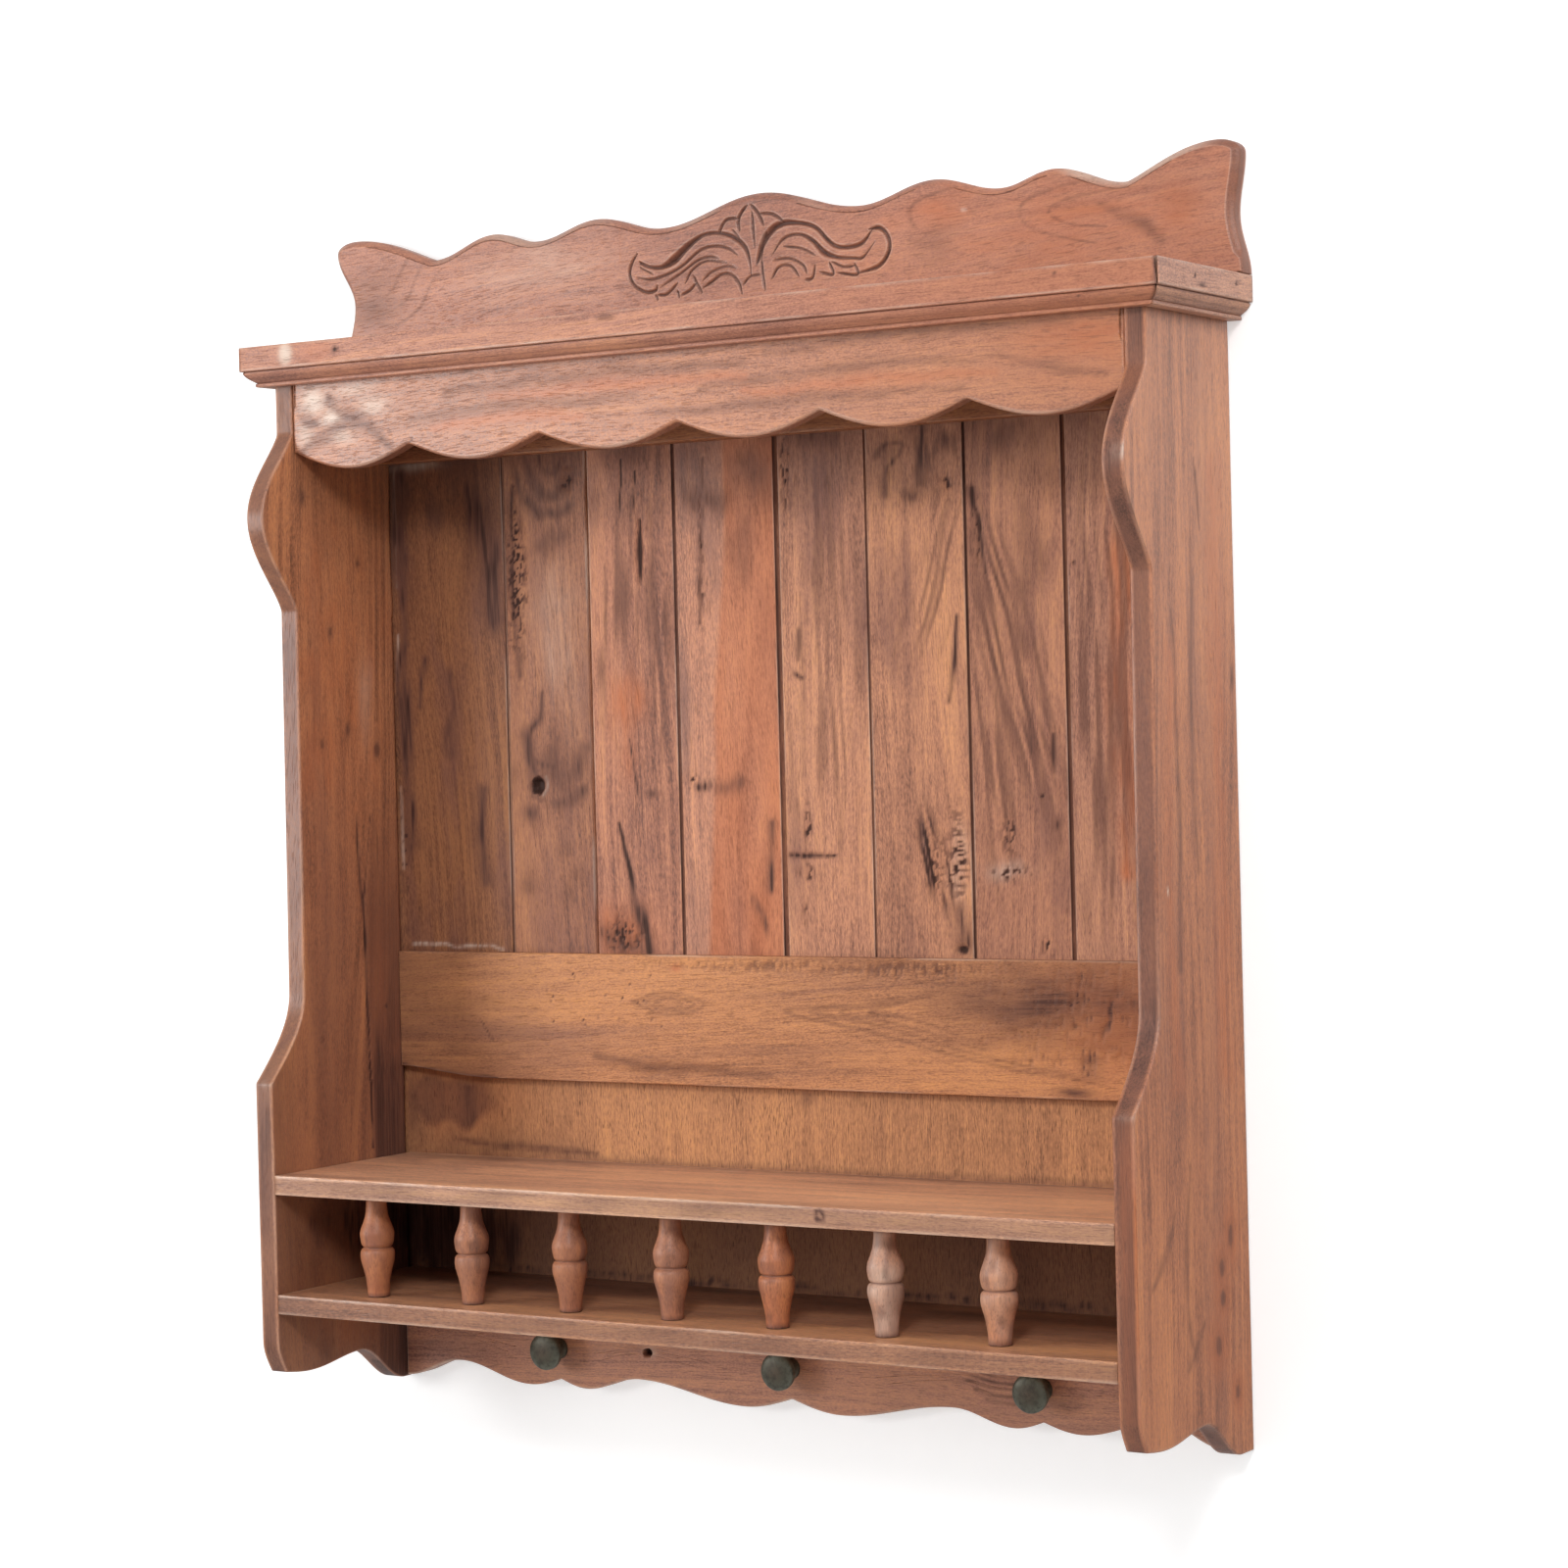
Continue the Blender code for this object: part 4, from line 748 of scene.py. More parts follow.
for i in range(3):
    reach = 14 + 11 * i
    oval = [(-106 - reach, 292), (-106, 295 + 2.6 * i), (-106 + reach, 291), (-106, 287 - 2.6 * i)]
    rail.streak(DARK, oval + oval[:1], 1.3, 0.32, ragged=0.3)
for tip, upper, lower in (((6, 287), [(82, 294), (144, 308), (180, 322)],
                           [(82, 273), (190, 250), (282, 238)]),
                          ((30, 287), [(95, 295), (150, 306)], [(95, 277), (190, 255), (270, 242)]),
                          ((58, 287), [(110, 296), (155, 306)], [(110, 279), (190, 260)]),
                          ((84, 287), [(125, 298), (158, 305)], [(125, 283), (190, 264)])):
    rail.streak(DARK, upper[::-1] + [tip] + lower, 1.6, 0.36, ragged=0.3, seed=tip[0])
rail.streak(DARK, [(-177, 246), (-131, 239), (-90, 239), (-9, 235)], (4, 7, 6, 3), 0.42, ragged=0.4)
rail.pits((-110, 238), (75, 5), 0.5, 0.6, cell=(5, 1.6))
rail.pits((-20, 322), (30, 6), 0.5, 0.7, seed=7, cell=(1.5, 4.5), bar=0.5)
rail.pits((130, 321), (95, 9), 0.6, 1.0, seed=8, cell=(1.6, 5.0), bar=0.48)
rail.spot(RED, (315, 285), (75, 48), 0.62, ragged=0.2)
rail.spot(DARK, (236, 298), (84, 34), 0.64, ragged=0.3)
rail.spot(DARK, (300, 302), (66, 42), 0.57, ragged=0.3)
rail.spot(DARK, (165, 308), (36, 13), 0.3, ragged=0.2)
rail.pits((255, 290), (80, 48), 0.55, 1.2, seed=9, cell=(1.6, 5.5), bar=0.6)
rail.pits((292, 296), (46, 44), 0.75, 1.5, seed=10, cell=(2.0, 7.0), bar=0.57)
rail.pits((50, 323), (190, 6), 0.55, 0.9, seed=11, cell=(1.3, 4.0), bar=0.5)
for top, low, place in ((328, 309, 276), (306, 295, 268), (268, 243, 277)):
    for shift in (-5, 0, 4):
        a = place + shift
        rail.streak(DARK, [(a, top - abs(shift)), (a + 1, (top + low) / 2), (a - 1, low)], (0.6, 1.5, 0.6),
                    0.7, 1.4, ragged=0.4, seed=top + shift)
rail.spot(DARK, (265, 230), (16, 4), 0.8)
rail.spot(DARK, (278, 252), (14, 14), 0.45, ragged=0.5)
rail_wood = timber("rail_wood", "x", (0.51, 0.222, 0.101), 18, (-0.28, 0.06), (0.03, 0.05), rings=150,
                   figure=0.9, streaks=0.4, dash=380, gloss=0.48, shine=0.2)
for lapped, thickness in ((rail.b < PLY_TOP + 2 * RAIL_ARRIS, PLY_T),
                          (rail.b > BOARD_FOOT - 2 * RAIL_ARRIS, BOARD_T)):
    rail.d[lapped] = np.minimum(rail.d[lapped], RAIL_T - thickness - 2 * GAP)
rail.finish("proud_rail", facing_room(RAIL_T), rail_wood, "hardwood", "back_rail")

# Upper back: eight old boards of mixed figure, tongued and grooved, with dark joints between them.
# Each has its own knots, stains and worm-eaten edges, and putty fills the gap at the left side.
BOARD_EDGES = (-LAP, -0.26375, -0.17875, -0.09225, 0.00575, 0.08875, 0.17775, 0.26375, LAP)
TONGUE_REAR = 0.0025
VALANCE_SHADE_TOP, VALANCE_SHADE_FADE = 0.743, 0.022
HANGER_ROOM = 0.0019
KEYHOLE_EDGE, KEYHOLE_RISE, KEYHOLE_HALF, KEYHOLE_DEEP = 0.0025, 0.004, 0.0105, 0.004
# The two left boards are given darker tones, partly their own colour and partly painted shade from the left
# side.
BOARD_TONES = ((0.29, 0.119, 0.058), (0.365, 0.155, 0.086), (0.485, 0.211, 0.127), (0.545, 0.232, 0.134),
               (0.525, 0.240, 0.141), (0.50, 0.226, 0.129), (0.415, 0.184, 0.111), (0.425, 0.199, 0.126))
BOARD_FIGURE = ((0.4, 0.3), (0.03, 0.035), (0.05, 0.04), (-0.03, 0.06), (0.10, 0.06), (-0.02, 0.03),
                (-0.05, 0.045), (0.2, 0.1))
JOINT_GAPS = (0.0026, 0.0030, 0.0032, 0.0046, 0.0018, 0.0026, 0.0034)
JOINT_DEPTHS = (0.0004, 0.0005, 0.0008, 0.0008, 0.0008, 0.0014, 0.0009)
JOINT_MARKS = ((PALE, 0.16), (RED, 0.4), (DARK, 0.24), (DARK, 0.28), (DARK, 0.24), (DARK, 0.5), (DARK, 0.3))


def mark_board(number, board):
    """What is to be seen on each old board."""
    if number == 1:
        for high, low in ((742, 640), (600, 560), (470, 400)):
            board.streak(PALE, [(-378, high), (-379, low)], 1.3, 0.4, ragged=0.9, seed=high)
        board.spot(PALE, (-352, 741), (26, 4), 0.5, ragged=0.8)
        board.streak(PALE, [(-371, 336), (-320, 335), (-277, 334)], 1.3, 0.5, ragged=1.0)
        board.pits((-377, 415), (4, 62), 0.9, 0.8, seed=12)
        board.streak(DARK, [(-298, 720), (-282, 665), (-277, 610)], (14, 20, 12), 0.5, ragged=0.4)
        board.streak(DARK, [(-292, 465), (-295, 428), (-291, 388)], (6, 9, 6), 0.45, ragged=0.4)
        board.spot(DARK, (-334, 701), (12, 14), 0.35, ragged=0.5)
        board.streak(DARK, [(-372, 735), (-374, 600), (-372, 420)], (10, 6, 8), 0.45, ragged=0.6)
        board.streak(DARK, [(-349, 575), (-357, 540)], 4, 0.4, ragged=0.7)
        board.streak(DARK, [(-320, 560), (-325, 500)], 6, 0.35, ragged=0.8)
    if number == 2:
        board.streak(DARK, [(-256, 715), (-255, 672), (-253, 624), (-253, 560)], (5, 7, 6, 3), 0.4, 0.3,
                     ragged=0.6)
        board.pits((-252, 640), (11, 90), 0.75, 1.0, seed=13, cell=(1.5, 2.4), bar=0.5)
        for i, line in enumerate(([(-253, 741), (-245, 716), (-232, 699), (-214, 692), (-196, 700)],
                                  [(-240, 741), (-230, 716), (-208, 706), (-192, 728)],
                                  [(-226, 742), (-216, 727), (-203, 738)])):
            board.streak(DARK, line, 6.5, 0.38, ragged=0.4, seed=14 + i)
        board.streak(DARK, [(-228, 664), (-218, 670), (-204, 678)], 10, 0.34, ragged=0.5)
        board.pits((-199, 722), (9, 12), 0.7, 0.6, seed=15)
        board.spot(PALE, (-212, 585), (22, 52), 0.15, ragged=0.6)
        board.spot(PALE, (-215, 620), (24, 30), 0.16, ragged=0.4)
        board.spot(DARK, (-218, 481), (36, 27), 0.36, ragged=0.5)
        board.streak(DARK, [(-228, 545), (-231, 525), (-244, 513), (-242, 494), (-236, 478)],
                     (2.5, 4, 6, 8, 6), 0.42, ragged=0.3)
        board.streak(DARK, [(-243, 496), (-222, 483), (-201, 476), (-185, 500)], (5, 9, 10, 6), 0.36,
                     ragged=0.4)
        board.streak(DARK, [(-190, 466), (-205, 456), (-222, 455)], (7, 9, 4), 0.4, ragged=0.4)
        board.spot(DARK, (-243, 445), (11, 9), 0.42, ragged=0.4)
        board.knot((-235, 469), (11, 13), hole=6.0, amount=1.0)
        board.streak(PALE, [(-227, 476), (-226, 468), (-230, 461)], 1.3, 0.6)
        for spot in ((-193, 391), (-210, 416), (-249, 391), (-205, 374)):
            board.spot(DARK, spot, (10, 12), 0.2, ragged=0.8)
    if number == 3:
        board.streak(DARK, [(-143, 734), (-145, 690)], 0.9, 1.0, 0.3, ragged=0.9)
        board.streak(DARK, [(-129, 724), (-132, 690)], 0.7, 0.8, ragged=0.9)
        board.streak(DARK, [(-126, 684), (-127, 658), (-127, 629)], (0.4, 3.0, 0.4), 1.0, 2.2, ragged=0.1)
        board.spot(DARK, (-135, 740), (36, 16), 0.45, ragged=0.4)
        board.fan((-152, 620), (24, 110), 0.03, 4.5, 0.42, 17)
        board.fan((-110, 590), (12, 110), 0.0, 4.0, 0.4, 18)
        board.spot(DARK, (-120, 460), (7, 4), 0.5, ragged=0.7)
        board.spot(RED, (-143, 528), (17, 34), 0.7, ragged=0.7)
        board.streak(DARK, [(-141, 505), (-138, 485), (-134, 462)], 0.8, 0.8)
        board.streak(DARK, [(-153, 436), (-146, 402), (-138, 366), (-128, 334)], (1.5, 3, 6, 6), 0.85, 0.3,
                     ragged=0.6)
        board.spot(RED, (-150, 348), (30, 24), 0.6, ragged=0.4)
        board.streak(DARK, [(-168, 345), (-150, 342), (-134, 336)], (10, 12, 6), 0.42, ragged=0.7)
        board.pits((-150, 346), (23, 20), 0.8, 1.0, seed=16, cell=(1.6, 2.6), bar=0.52)
    if number == 4:
        edge = np.interp(board.b, np.array((334, 454, 508, 670, 734)) * MM,
                         np.array((-67, -61, -58, -45, -43)) * MM)
        sapwood = np.clip((edge - board.a + 0.004 * (board.mist(0.01, 0.06, 6) - 0.5)) / 0.005 + 0.5, 0, 1)
        board.stain(PALE, 0.07 * sapwood)
        board.stain(RED, (0.32 + 0.35 * board.mist(0.02, 0.09, 26)) * (1 - sapwood))
        board.streak(DARK, [(-64, 730), (-66, 663), (-71, 598)], 1.6, 0.6, ragged=0.8)
        board.pits((-67, 660), (3, 70), 0.7, 0.6, seed=18)
        board.streak(DARK, [(-72, 700), (-47, 694)], 11, 0.38, ragged=0.5)
        board.spot(DARK, (-16, 722), (28, 22), 0.4, ragged=0.4)
        board.spot(DARK, (-29, 655), (14, 26), 0.25, ragged=0.8)
        board.pits((-82, 473), (8, 8), 0.9, 0.9, seed=19)
        board.streak(DARK, [(-76, 466), (-66, 467)], 4, 0.6)
        board.streak(DARK, [(-58, 466), (-30, 470)], 6, 0.34, ragged=0.5)
        board.streak(DARK, [(-5, 436), (-9, 384)], 4, 0.6, ragged=0.7)
        board.streak(DARK, [(-25, 372), (-13, 351)], 5, 0.4, ragged=0.8)
    if number == 5:
        board.pits((15, 714), (5, 38), 0.9, 0.9, seed=20)
        board.spot(DARK, (47, 744), (46, 18), 0.5, ragged=0.4)
        board.streak(DARK, [(24, 590), (24, 566)], (2, 4, 2), 0.6, ragged=0.4)
        board.streak(DARK, [(20, 555), (27, 551)], 2.6, 0.7)
        board.pits((76, 457), (5, 7), 0.5, 0.5, seed=21)
        board.pits((28, 433), (4, 18), 0.8, 0.8, seed=22)
        board.streak(DARK, [(11, 411), (33, 410), (55, 410)], (2.2, 2.4, 1.0), 0.75, 0.7, ragged=0.4)
        board.pits((25, 397), (9, 9), 0.85, 0.9, seed=23)
        board.pits((24, 368), (4, 16), 0.7, 0.7, seed=24)
        board.fan((50, 570), (40, 150), 0.0, 3.6, 0.3, 25)
    if number == 6:
        board.spot(DARK, (112, 718), (17, 22), 0.35, ragged=0.4)
        board.streak(DARK, [(99, 719), (108, 731), (124, 729), (117, 718), (108, 711), (107, 692)], 4.2, 0.5,
                     ragged=0.4)
        board.streak(DARK, [(142, 742), (141, 700)], (9, 6), 0.55, ragged=0.4)
        board.streak(DARK, [(148, 716), (164, 729)], 10, 0.45, ragged=0.5)
        board.pits((161, 695), (10, 14), 0.75, 0.7, seed=29)
        board.spot(DARK, (126, 692), (10, 6), 0.45, ragged=0.8)
        board.fan((152, 622), (26, 66), 0.33, 3.4, 0.42, 30)
        board.streak(DARK, [(169, 595), (165, 564), (159, 528)], (2, 3, 1.5), 0.65, ragged=0.6)
        board.streak(DARK, [(129, 438), (131, 414)], (2, 4, 2), 0.6, 0.5, ragged=0.4)
        board.fan((146, 402), (13, 44), -0.22, 2.4, 0.85, 31)
        board.pits((146, 402), (12, 40), 0.5, 1.0, seed=71, cell=(1.6, 2.6), bar=0.52)
        board.spot(PALE, (165, 404), (7, 30), 0.22, ragged=0.6)
        board.pits((164, 402), (9, 42), 0.75, 1.2, seed=35, cell=(4.5, 1.5), bar=0.46)
        board.streak(DARK, [(164, 366), (170, 346)], (10, 12), 0.45, ragged=0.4)
        board.spot(DARK, (166, 337), (5, 3.5), 1.0, 3.0, ragged=0.2)
    if number == 7:
        board.streak(DARK, [(184, 692), (188, 662), (192, 626)], 3.5, 0.65, 0.3, ragged=0.6)
        board.pits((188, 660), (6, 36), 0.85, 1.0, seed=36)
        board.streak(DARK, [(229, 672), (234, 631), (221, 599), (228, 565)], (10, 14, 11, 8), 0.32,
                     ragged=0.4)
        board.fan((214, 560), (30, 120), -0.26, 4.0, 0.5, 37)
        board.fan((196, 480), (16, 90), -0.10, 3.2, 0.4, 38)
        board.spot(DARK, (215, 735), (34, 18), 0.42, ragged=0.4)
        board.streak(DARK, [(250, 502), (251, 472)], (2, 4, 2), 0.6, 0.5, ragged=0.4)
        board.pits((240, 453), (4, 5), 0.9, 0.9, seed=44)
        board.spot(DARK, (253, 433), (4, 7), 0.55, ragged=0.6)
        board.pits((211, 426), (8, 24), 0.8, 0.9, seed=45, cell=(1.6, 3.0), bar=0.48)
        board.spot(PALE, (208, 398), (15, 6), 0.35, ragged=0.7)
        board.pits((210, 396), (19, 7), 0.9, 1.0, seed=46, cell=(2.6, 2.6))
        board.pits((240, 340), (9, 9), 1.0, 1.0, seed=47)
    if number == 8:
        board.fan((296, 530), (40, 190), 0.01, 4.5, 0.4, 48)
        board.streak(RED, [(316, 700), (308, 560), (314, 400)], 10, 0.6, ragged=0.7)
        board.spot(DARK, (271, 631), (1.3, 1.3), 1.0, 1.5, ragged=0.1)


for i, (left, right) in enumerate(zip(BOARD_EDGES, BOARD_EDGES[1:])):
    last = len(JOINT_GAPS)
    left += JOINT_GAPS[i - 1] / 2 * (i > 0)
    right -= JOINT_GAPS[min(i, last - 1)] / 2 * (i < last)
    low = JOINT_DEPTHS[i] if i < last else 0.002
    high = BOARD_T - TONGUE_REAR
    arris = 0.0005 if low < 0.001 else 0.0008
    board = Board(*straight(left, right, BOARD_FOOT, BOARD_TOP), BOARD_T, cells(right - left, 0.0017),
                  cells(BOARD_TOP - BOARD_FOOT, 0.0017), arris=arris,
                  levels=(low - 0.0001, low, high, high + 0.0001), grid_behind=True)
    tongue = (board.a > right - 0.0002) & (board.d > low - 0.00005) & (board.d < high + 0.00005) & (i < last)
    board.a[tongue] = right + JOINT_GAPS[min(i, last - 1)] - GAP / 2
    board.worn(0.45, 51 + 5 * i, edge_dirt=0.8)
    if i in (0, last):
        plate_low, plate_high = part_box("hanger_plate_left" if i == 0 else "hanger_plate_right")
        away_a = np.abs(board.a - (plate_low.x + plate_high.x) / 2) - (plate_high.x - plate_low.x) / 2
        rise = board.b + feet - (plate_low.z + plate_high.z) / 2
        away = np.maximum(away_a, np.abs(rise) - (plate_high.z - plate_low.z) / 2)
        let_in = (board.behind > 0) & (away < HANGER_ROOM)
        pocket = let_in & (away_a < -KEYHOLE_EDGE) & (np.abs(rise - KEYHOLE_RISE) < KEYHOLE_HALF)
        board.d[let_in] = BOARD_T + plate_low.y - 2 * GAP
        board.d[pocket] = BOARD_T - KEYHOLE_DEEP
    # Painted shadow of the valance across the top of each board.
    valance_shade = np.exp((np.minimum(board.b, VALANCE_SHADE_TOP) - VALANCE_SHADE_TOP) / VALANCE_SHADE_FADE)
    board.stain(DARK, 0.5 * valance_shade * board.mist(0.02, 0.03, 71 + i))
    mark_board(i + 1, board)
    # Deeper dark marks on the two left boards, partly painted shade from the left side.
    board.paint[:, DARK] *= 1.6 if i < 2 else 1.3
    if i < last:
        board.paint[tongue] = 0
        board.paint[tongue, JOINT_MARKS[i][0]] = JOINT_MARKS[i][1]
    middle = (left + right) / 2
    across, through = BOARD_FIGURE[i]
    wood = timber(f"board_wood_{i + 1}", "z", BOARD_TONES[i], 20 + i, (across - middle, through),
                  (0.02 * (-1) ** i, 0.05 - 0.012 * i), rings=170, drift=1.0, dash=230, mauve=0.72,
                  patch=(26, 6), gloss=0.5, shine=0.16)
    board.finish(f"back_plank_{i + 1}", facing_room(BOARD_T), wood, "board_hardwood", f"back_board_{i + 1}")

# Hanging rail: a plain dark batten behind the valance, stub-tenoned into the sides.
# It takes the weight of the shelf at the wall, and only its lower edge shows.
HANGING_FOOT, HANGING_FRONT, HANGING_T = 0.7432, 0.0263, 0.018
under_lid = SIDE_H - GAP
batten = Board(*straight(-shelf_end, shelf_end, HANGING_FOOT, under_lid), HANGING_T, cells(2 * INNER, 0.004),
               cells(SIDE_H - HANGING_FOOT, 0.004), arris=0.0012, level_grain=True)
batten.worn(0.15, 91)
batten_wood = timber("batten_wood", "x", (0.31, 0.118, 0.055), 31, (0.1, 0.05), shine=0.08)
batten.finish("hanging_batten", facing_room(HANGING_FRONT), batten_wood, "board_hardwood", "hanging_rail")

# Valance: a board scalloped along its lower edge with a bow saw, its arris rounded with a rasp.
# It is stub-tenoned between the sides and shows fine marks of the saw across its grain.
VALANCE_T = 0.015
VALANCE_CUSP, LOBE_DEEP = 0.7482, 0.016
LOBE_WIDTHS = (0.93, 1.02, 1.03, 1.01, 0.99, 1.02)
scallops = [(-shelf_end, VALANCE_CUSP)]
for width in LOBE_WIDTHS:
    u = np.linspace(0, 1, 33)[1:]
    reach = 2 * shelf_end * width / sum(LOBE_WIDTHS)
    lobe = np.column_stack((scallops[-1][0] + reach * u, VALANCE_CUSP - LOBE_DEEP * np.sin(np.pi * u)))
    scallops = np.vstack((scallops, lobe))
valance = Board(scallops, *straight(-shelf_end, shelf_end, VALANCE_CUSP, under_lid)[1:], VALANCE_T,
                cells(2 * INNER * 1.02, 0.0022), cells(SIDE_H - VALANCE_CUSP, 0.0022), arris=0.0026,
                level_grain=True)
valance.worn(0.4, 95, edge_dirt=0.4)
# Painted sheen: pale patches of glare at the left end of the face.
for middle, size, amount in (((-358, 790), (13, 10), 0.85), ((-341, 776), (11, 9), 0.78),
                             ((-327, 758), (12, 6), 0.55), ((-299, 783), (16, 7), 0.62),
                             ((-371, 762), (8, 8), 0.6), ((-318, 795), (18, 5), 0.5)):
    valance.spot(PALE, middle, size, amount, ragged=0.5, seed=-middle[0])
for line in ([(-374, 745), (-350, 757), (-330, 768)], [(-344, 790), (-326, 774), (-305, 768), (-285, 748)],
             [(-372, 778), (-356, 772)]):
    valance.streak(DARK, line, (4, 7, 4), 0.55, ragged=0.5)
for line in ([(-225, 786), (-82, 791), (62, 789)], [(-260, 768), (-150, 772), (-40, 770)],
             [(20, 772), (160, 778), (300, 775)], [(80, 795), (220, 799), (340, 796)],
             [(-20, 755), (120, 758), (250, 756)]):
    valance.streak(DARK, line, (3, 6, 3), 0.36, ragged=0.4, seed=line[0][1])
valance.stain(DARK, 0.16 * np.clip((valance.a - 0.1) / 0.2, 0, 1))
valance.streak(DARK, [(300, 772), (330, 764), (365, 757)], (4, 7, 5), 0.4, ragged=0.4)
valance.spot(DARK, (-259, 751), (1.3, 1.3), 1.0, 0.8, ragged=0.1)
valance.spot(RED, (345, 782), (60, 26), 0.65, ragged=0.6)
for line in ([(-180, 779), (-60, 781), (60, 779)], [(60, 766), (170, 768), (280, 765)],
             [(-240, 759), (-150, 762), (-90, 758)]):
    valance.streak(RED, line, (3, 6, 3), 0.6, ragged=0.4, seed=line[0][1])
valance_wood = timber("valance_wood", "x", (0.47, 0.195, 0.106), 34, (0.25, 0.08), (0.03, 0.02), rings=140,
                      figure=0.8, streaks=0.4, dash=400, saw=0.03, mauve=0.3, gloss=0.34)
valance.finish("scalloped_valance", facing_room(UPPER_DEPTH), valance_wood, "hardwood", "valance")

# Top board: a plain board screwed down on the sides, which carries the cornice and the cresting.
# Left off the plane above, where nobody looks.
TOP, TOP_T = 0.8352, 0.018
lid = Board(*straight(-OUTER, OUTER, -UPPER_DEPTH, 0), TOP_T, cells(2 * OUTER, 0.004),
            cells(UPPER_DEPTH, 0.004), arris=0.0006, grid_behind=True, level_grain=True)
lid.worn(0.3, 99)
lid.stain(ROUGH, 0.5)
lid_wood = timber("lid_wood", "x", (0.38, 0.165, 0.088), 37, (0.04, 0.05), (0.02, 0.03), gloss=0.55)
lid.finish("lid_board", lying(TOP), lid_wood, "hardwood", "top_board")

# Cornice: a fascia over an ovolo moulding, mitred at the front corners and nailed to the top board.
# Moulded by hand plane, so its lines are dark with wax; the right mitre has opened.
CORNICE_FOOT = TOP - 0.0325
FASCIA_FOOT, FASCIA_OUT = TOP - 0.020, 0.0205
OVOLO_OUT, FOOT_OUT, FILLET = 0.0185, 0.010, 0.003
MITRE_GAP = 0.0026


def rounded(corners, radius, steps=4):
    """A closed outline with its corners rounded."""
    corners = np.asarray(corners, float)
    points = []
    for before, corner, after in zip(np.roll(corners, 1, 0), corners, np.roll(corners, -1, 0)):
        arms = [(end - corner) for end in (before, after)]
        room = min(np.hypot(*arm) for arm in arms) * 0.45
        start, end = (corner + arm / np.hypot(*arm) * min(radius, room) for arm in arms)
        for u in np.linspace(0, 1, steps + 1):
            points.append((1 - u) ** 2 * start + 2 * u * (1 - u) * corner + u ** 2 * end)
    return np.array(points)


ovolo = upright_run((FOOT_OUT, CORNICE_FOOT + FILLET), (OVOLO_OUT, FASCIA_FOOT - 0.0006), sweep, steps=14)
profile = rounded(np.vstack(([(GAP, TOP), (GAP, CORNICE_FOOT), (FOOT_OUT + 0.0012, CORNICE_FOOT),
                              (FOOT_OUT + 0.0012, CORNICE_FOOT + FILLET)], ovolo,
                             [(OVOLO_OUT - 0.0012, FASCIA_FOOT), (FASCIA_OUT, FASCIA_FOOT),
                              (FASCIA_OUT, FASCIA_FOOT + 0.004), (FASCIA_OUT, TOP - 0.010),
                              (FASCIA_OUT, TOP - 0.004), (FASCIA_OUT, TOP)])), 0.0011, 3)


def moulding(name, place, length, material, node, marks):
    """Draw the cornice section along one side; place takes shares along it, the way out and the height."""
    shares = cells(length, 0.0028)
    s, k = np.meshgrid(shares, np.arange(len(profile)), indexing="ij")
    out, height = profile[k, 0], profile[k, 1]
    along = s * length
    dents = 0.07 * MM * cloud(along / 0.03, height / 0.02, 61)
    dents = dents + 0.05 * MM * cloud(along / 0.006, height / 0.01, 62)
    out = out - dents * (out > FOOT_OUT)
    points = np.stack(place(s, out, height), -1).reshape(-1, 3)
    ids = np.arange(s.size).reshape(s.shape)
    near = np.roll(ids, -1, 1)
    quads = np.stack((ids[:-1], ids[1:], near[1:], near[:-1]), -1).reshape(-1, 4)
    caps = [ids[0].tolist(), ids[-1, ::-1].tolist()]
    paint = np.zeros((s.size, 4))

    def line(level, half):
        return np.exp(-((height - level) / half) ** 2)

    groove = line(FASCIA_FOOT - 0.0006, 0.0011) + line(CORNICE_FOOT + FILLET, 0.0012)
    groove = groove + 0.7 * line(CORNICE_FOOT + 0.0068, 0.0006)
    # Pale lines at the fascia's lower lip and along the top are partly wear and partly painted highlight.
    lip_wear_and_highlight = line(FASCIA_FOOT + 0.0012, 0.0006) + line(TOP, 0.0012)
    patchy = cloud(along / 0.02, height / 0.01, 63)
    paint[:, DARK] = np.clip(0.36 * groove * (0.6 + 0.6 * patchy) * (out > FOOT_OUT * 0.9), 0, 1).ravel()
    paint[:, PALE] = np.clip(0.4 * lip_wear_and_highlight * (patchy * 1.8 - 0.35) * (out > FOOT_OUT), 0, 1).ravel()
    marks(paint, points)
    return add_piece(name, points, quads, caps, material, [node], paint)


def dot(paint, points, axis, middle, size, channel, amount):
    """A soft dot of one mark on a moulding, in millimetres along an axis and in height."""
    away = np.hypot((points[:, axis] / MM - middle[0]) / size[0],
                    ((points[:, 2] - feet) / MM - middle[1]) / size[1])
    paint[:, channel] = np.maximum(paint[:, channel], amount * np.exp(-away ** 4))


def front_marks(paint, points):
    """Nail heads, a pale patch near the left end and a redder right half."""
    for middle, size, channel, amount in (
            ((-414, 828), (1.4, 1.4), DARK, 1), ((-371, 827), (7, 9), PALE, 0.9),
            ((-340, 826), (20, 9), RED, 0.35), ((-319, 827), (3, 3), DARK, 1),
            ((-52, 831), (9, 3), DARK, 0.45), ((419, 820), (2.6, 30), DARK, 0.8),
            ((338, 830), (1.4, 1.4), DARK, 0.9), ((357, 812), (1.4, 1.4), DARK, 0.9)):
        dot(paint, points, 0, middle, size, channel, amount)
    right = np.clip((points[:, 0] - 0.02) / 0.3, 0, 1)
    paint[:, RED] = np.maximum(paint[:, RED], 0.35 * right)
    paint[:, DARK] = np.maximum(paint[:, DARK], 0.14 * right)


def right_marks(paint, points):
    """Two nail heads and a scratch on the right return."""
    for middle, size, amount in (((-96, 826), (1.6, 1.6), 1), ((-27, 826), (1.6, 1.6), 1),
                                 ((-84, 820), (6, 1), 0.8)):
        dot(paint, points, 1, middle, size, DARK, amount)


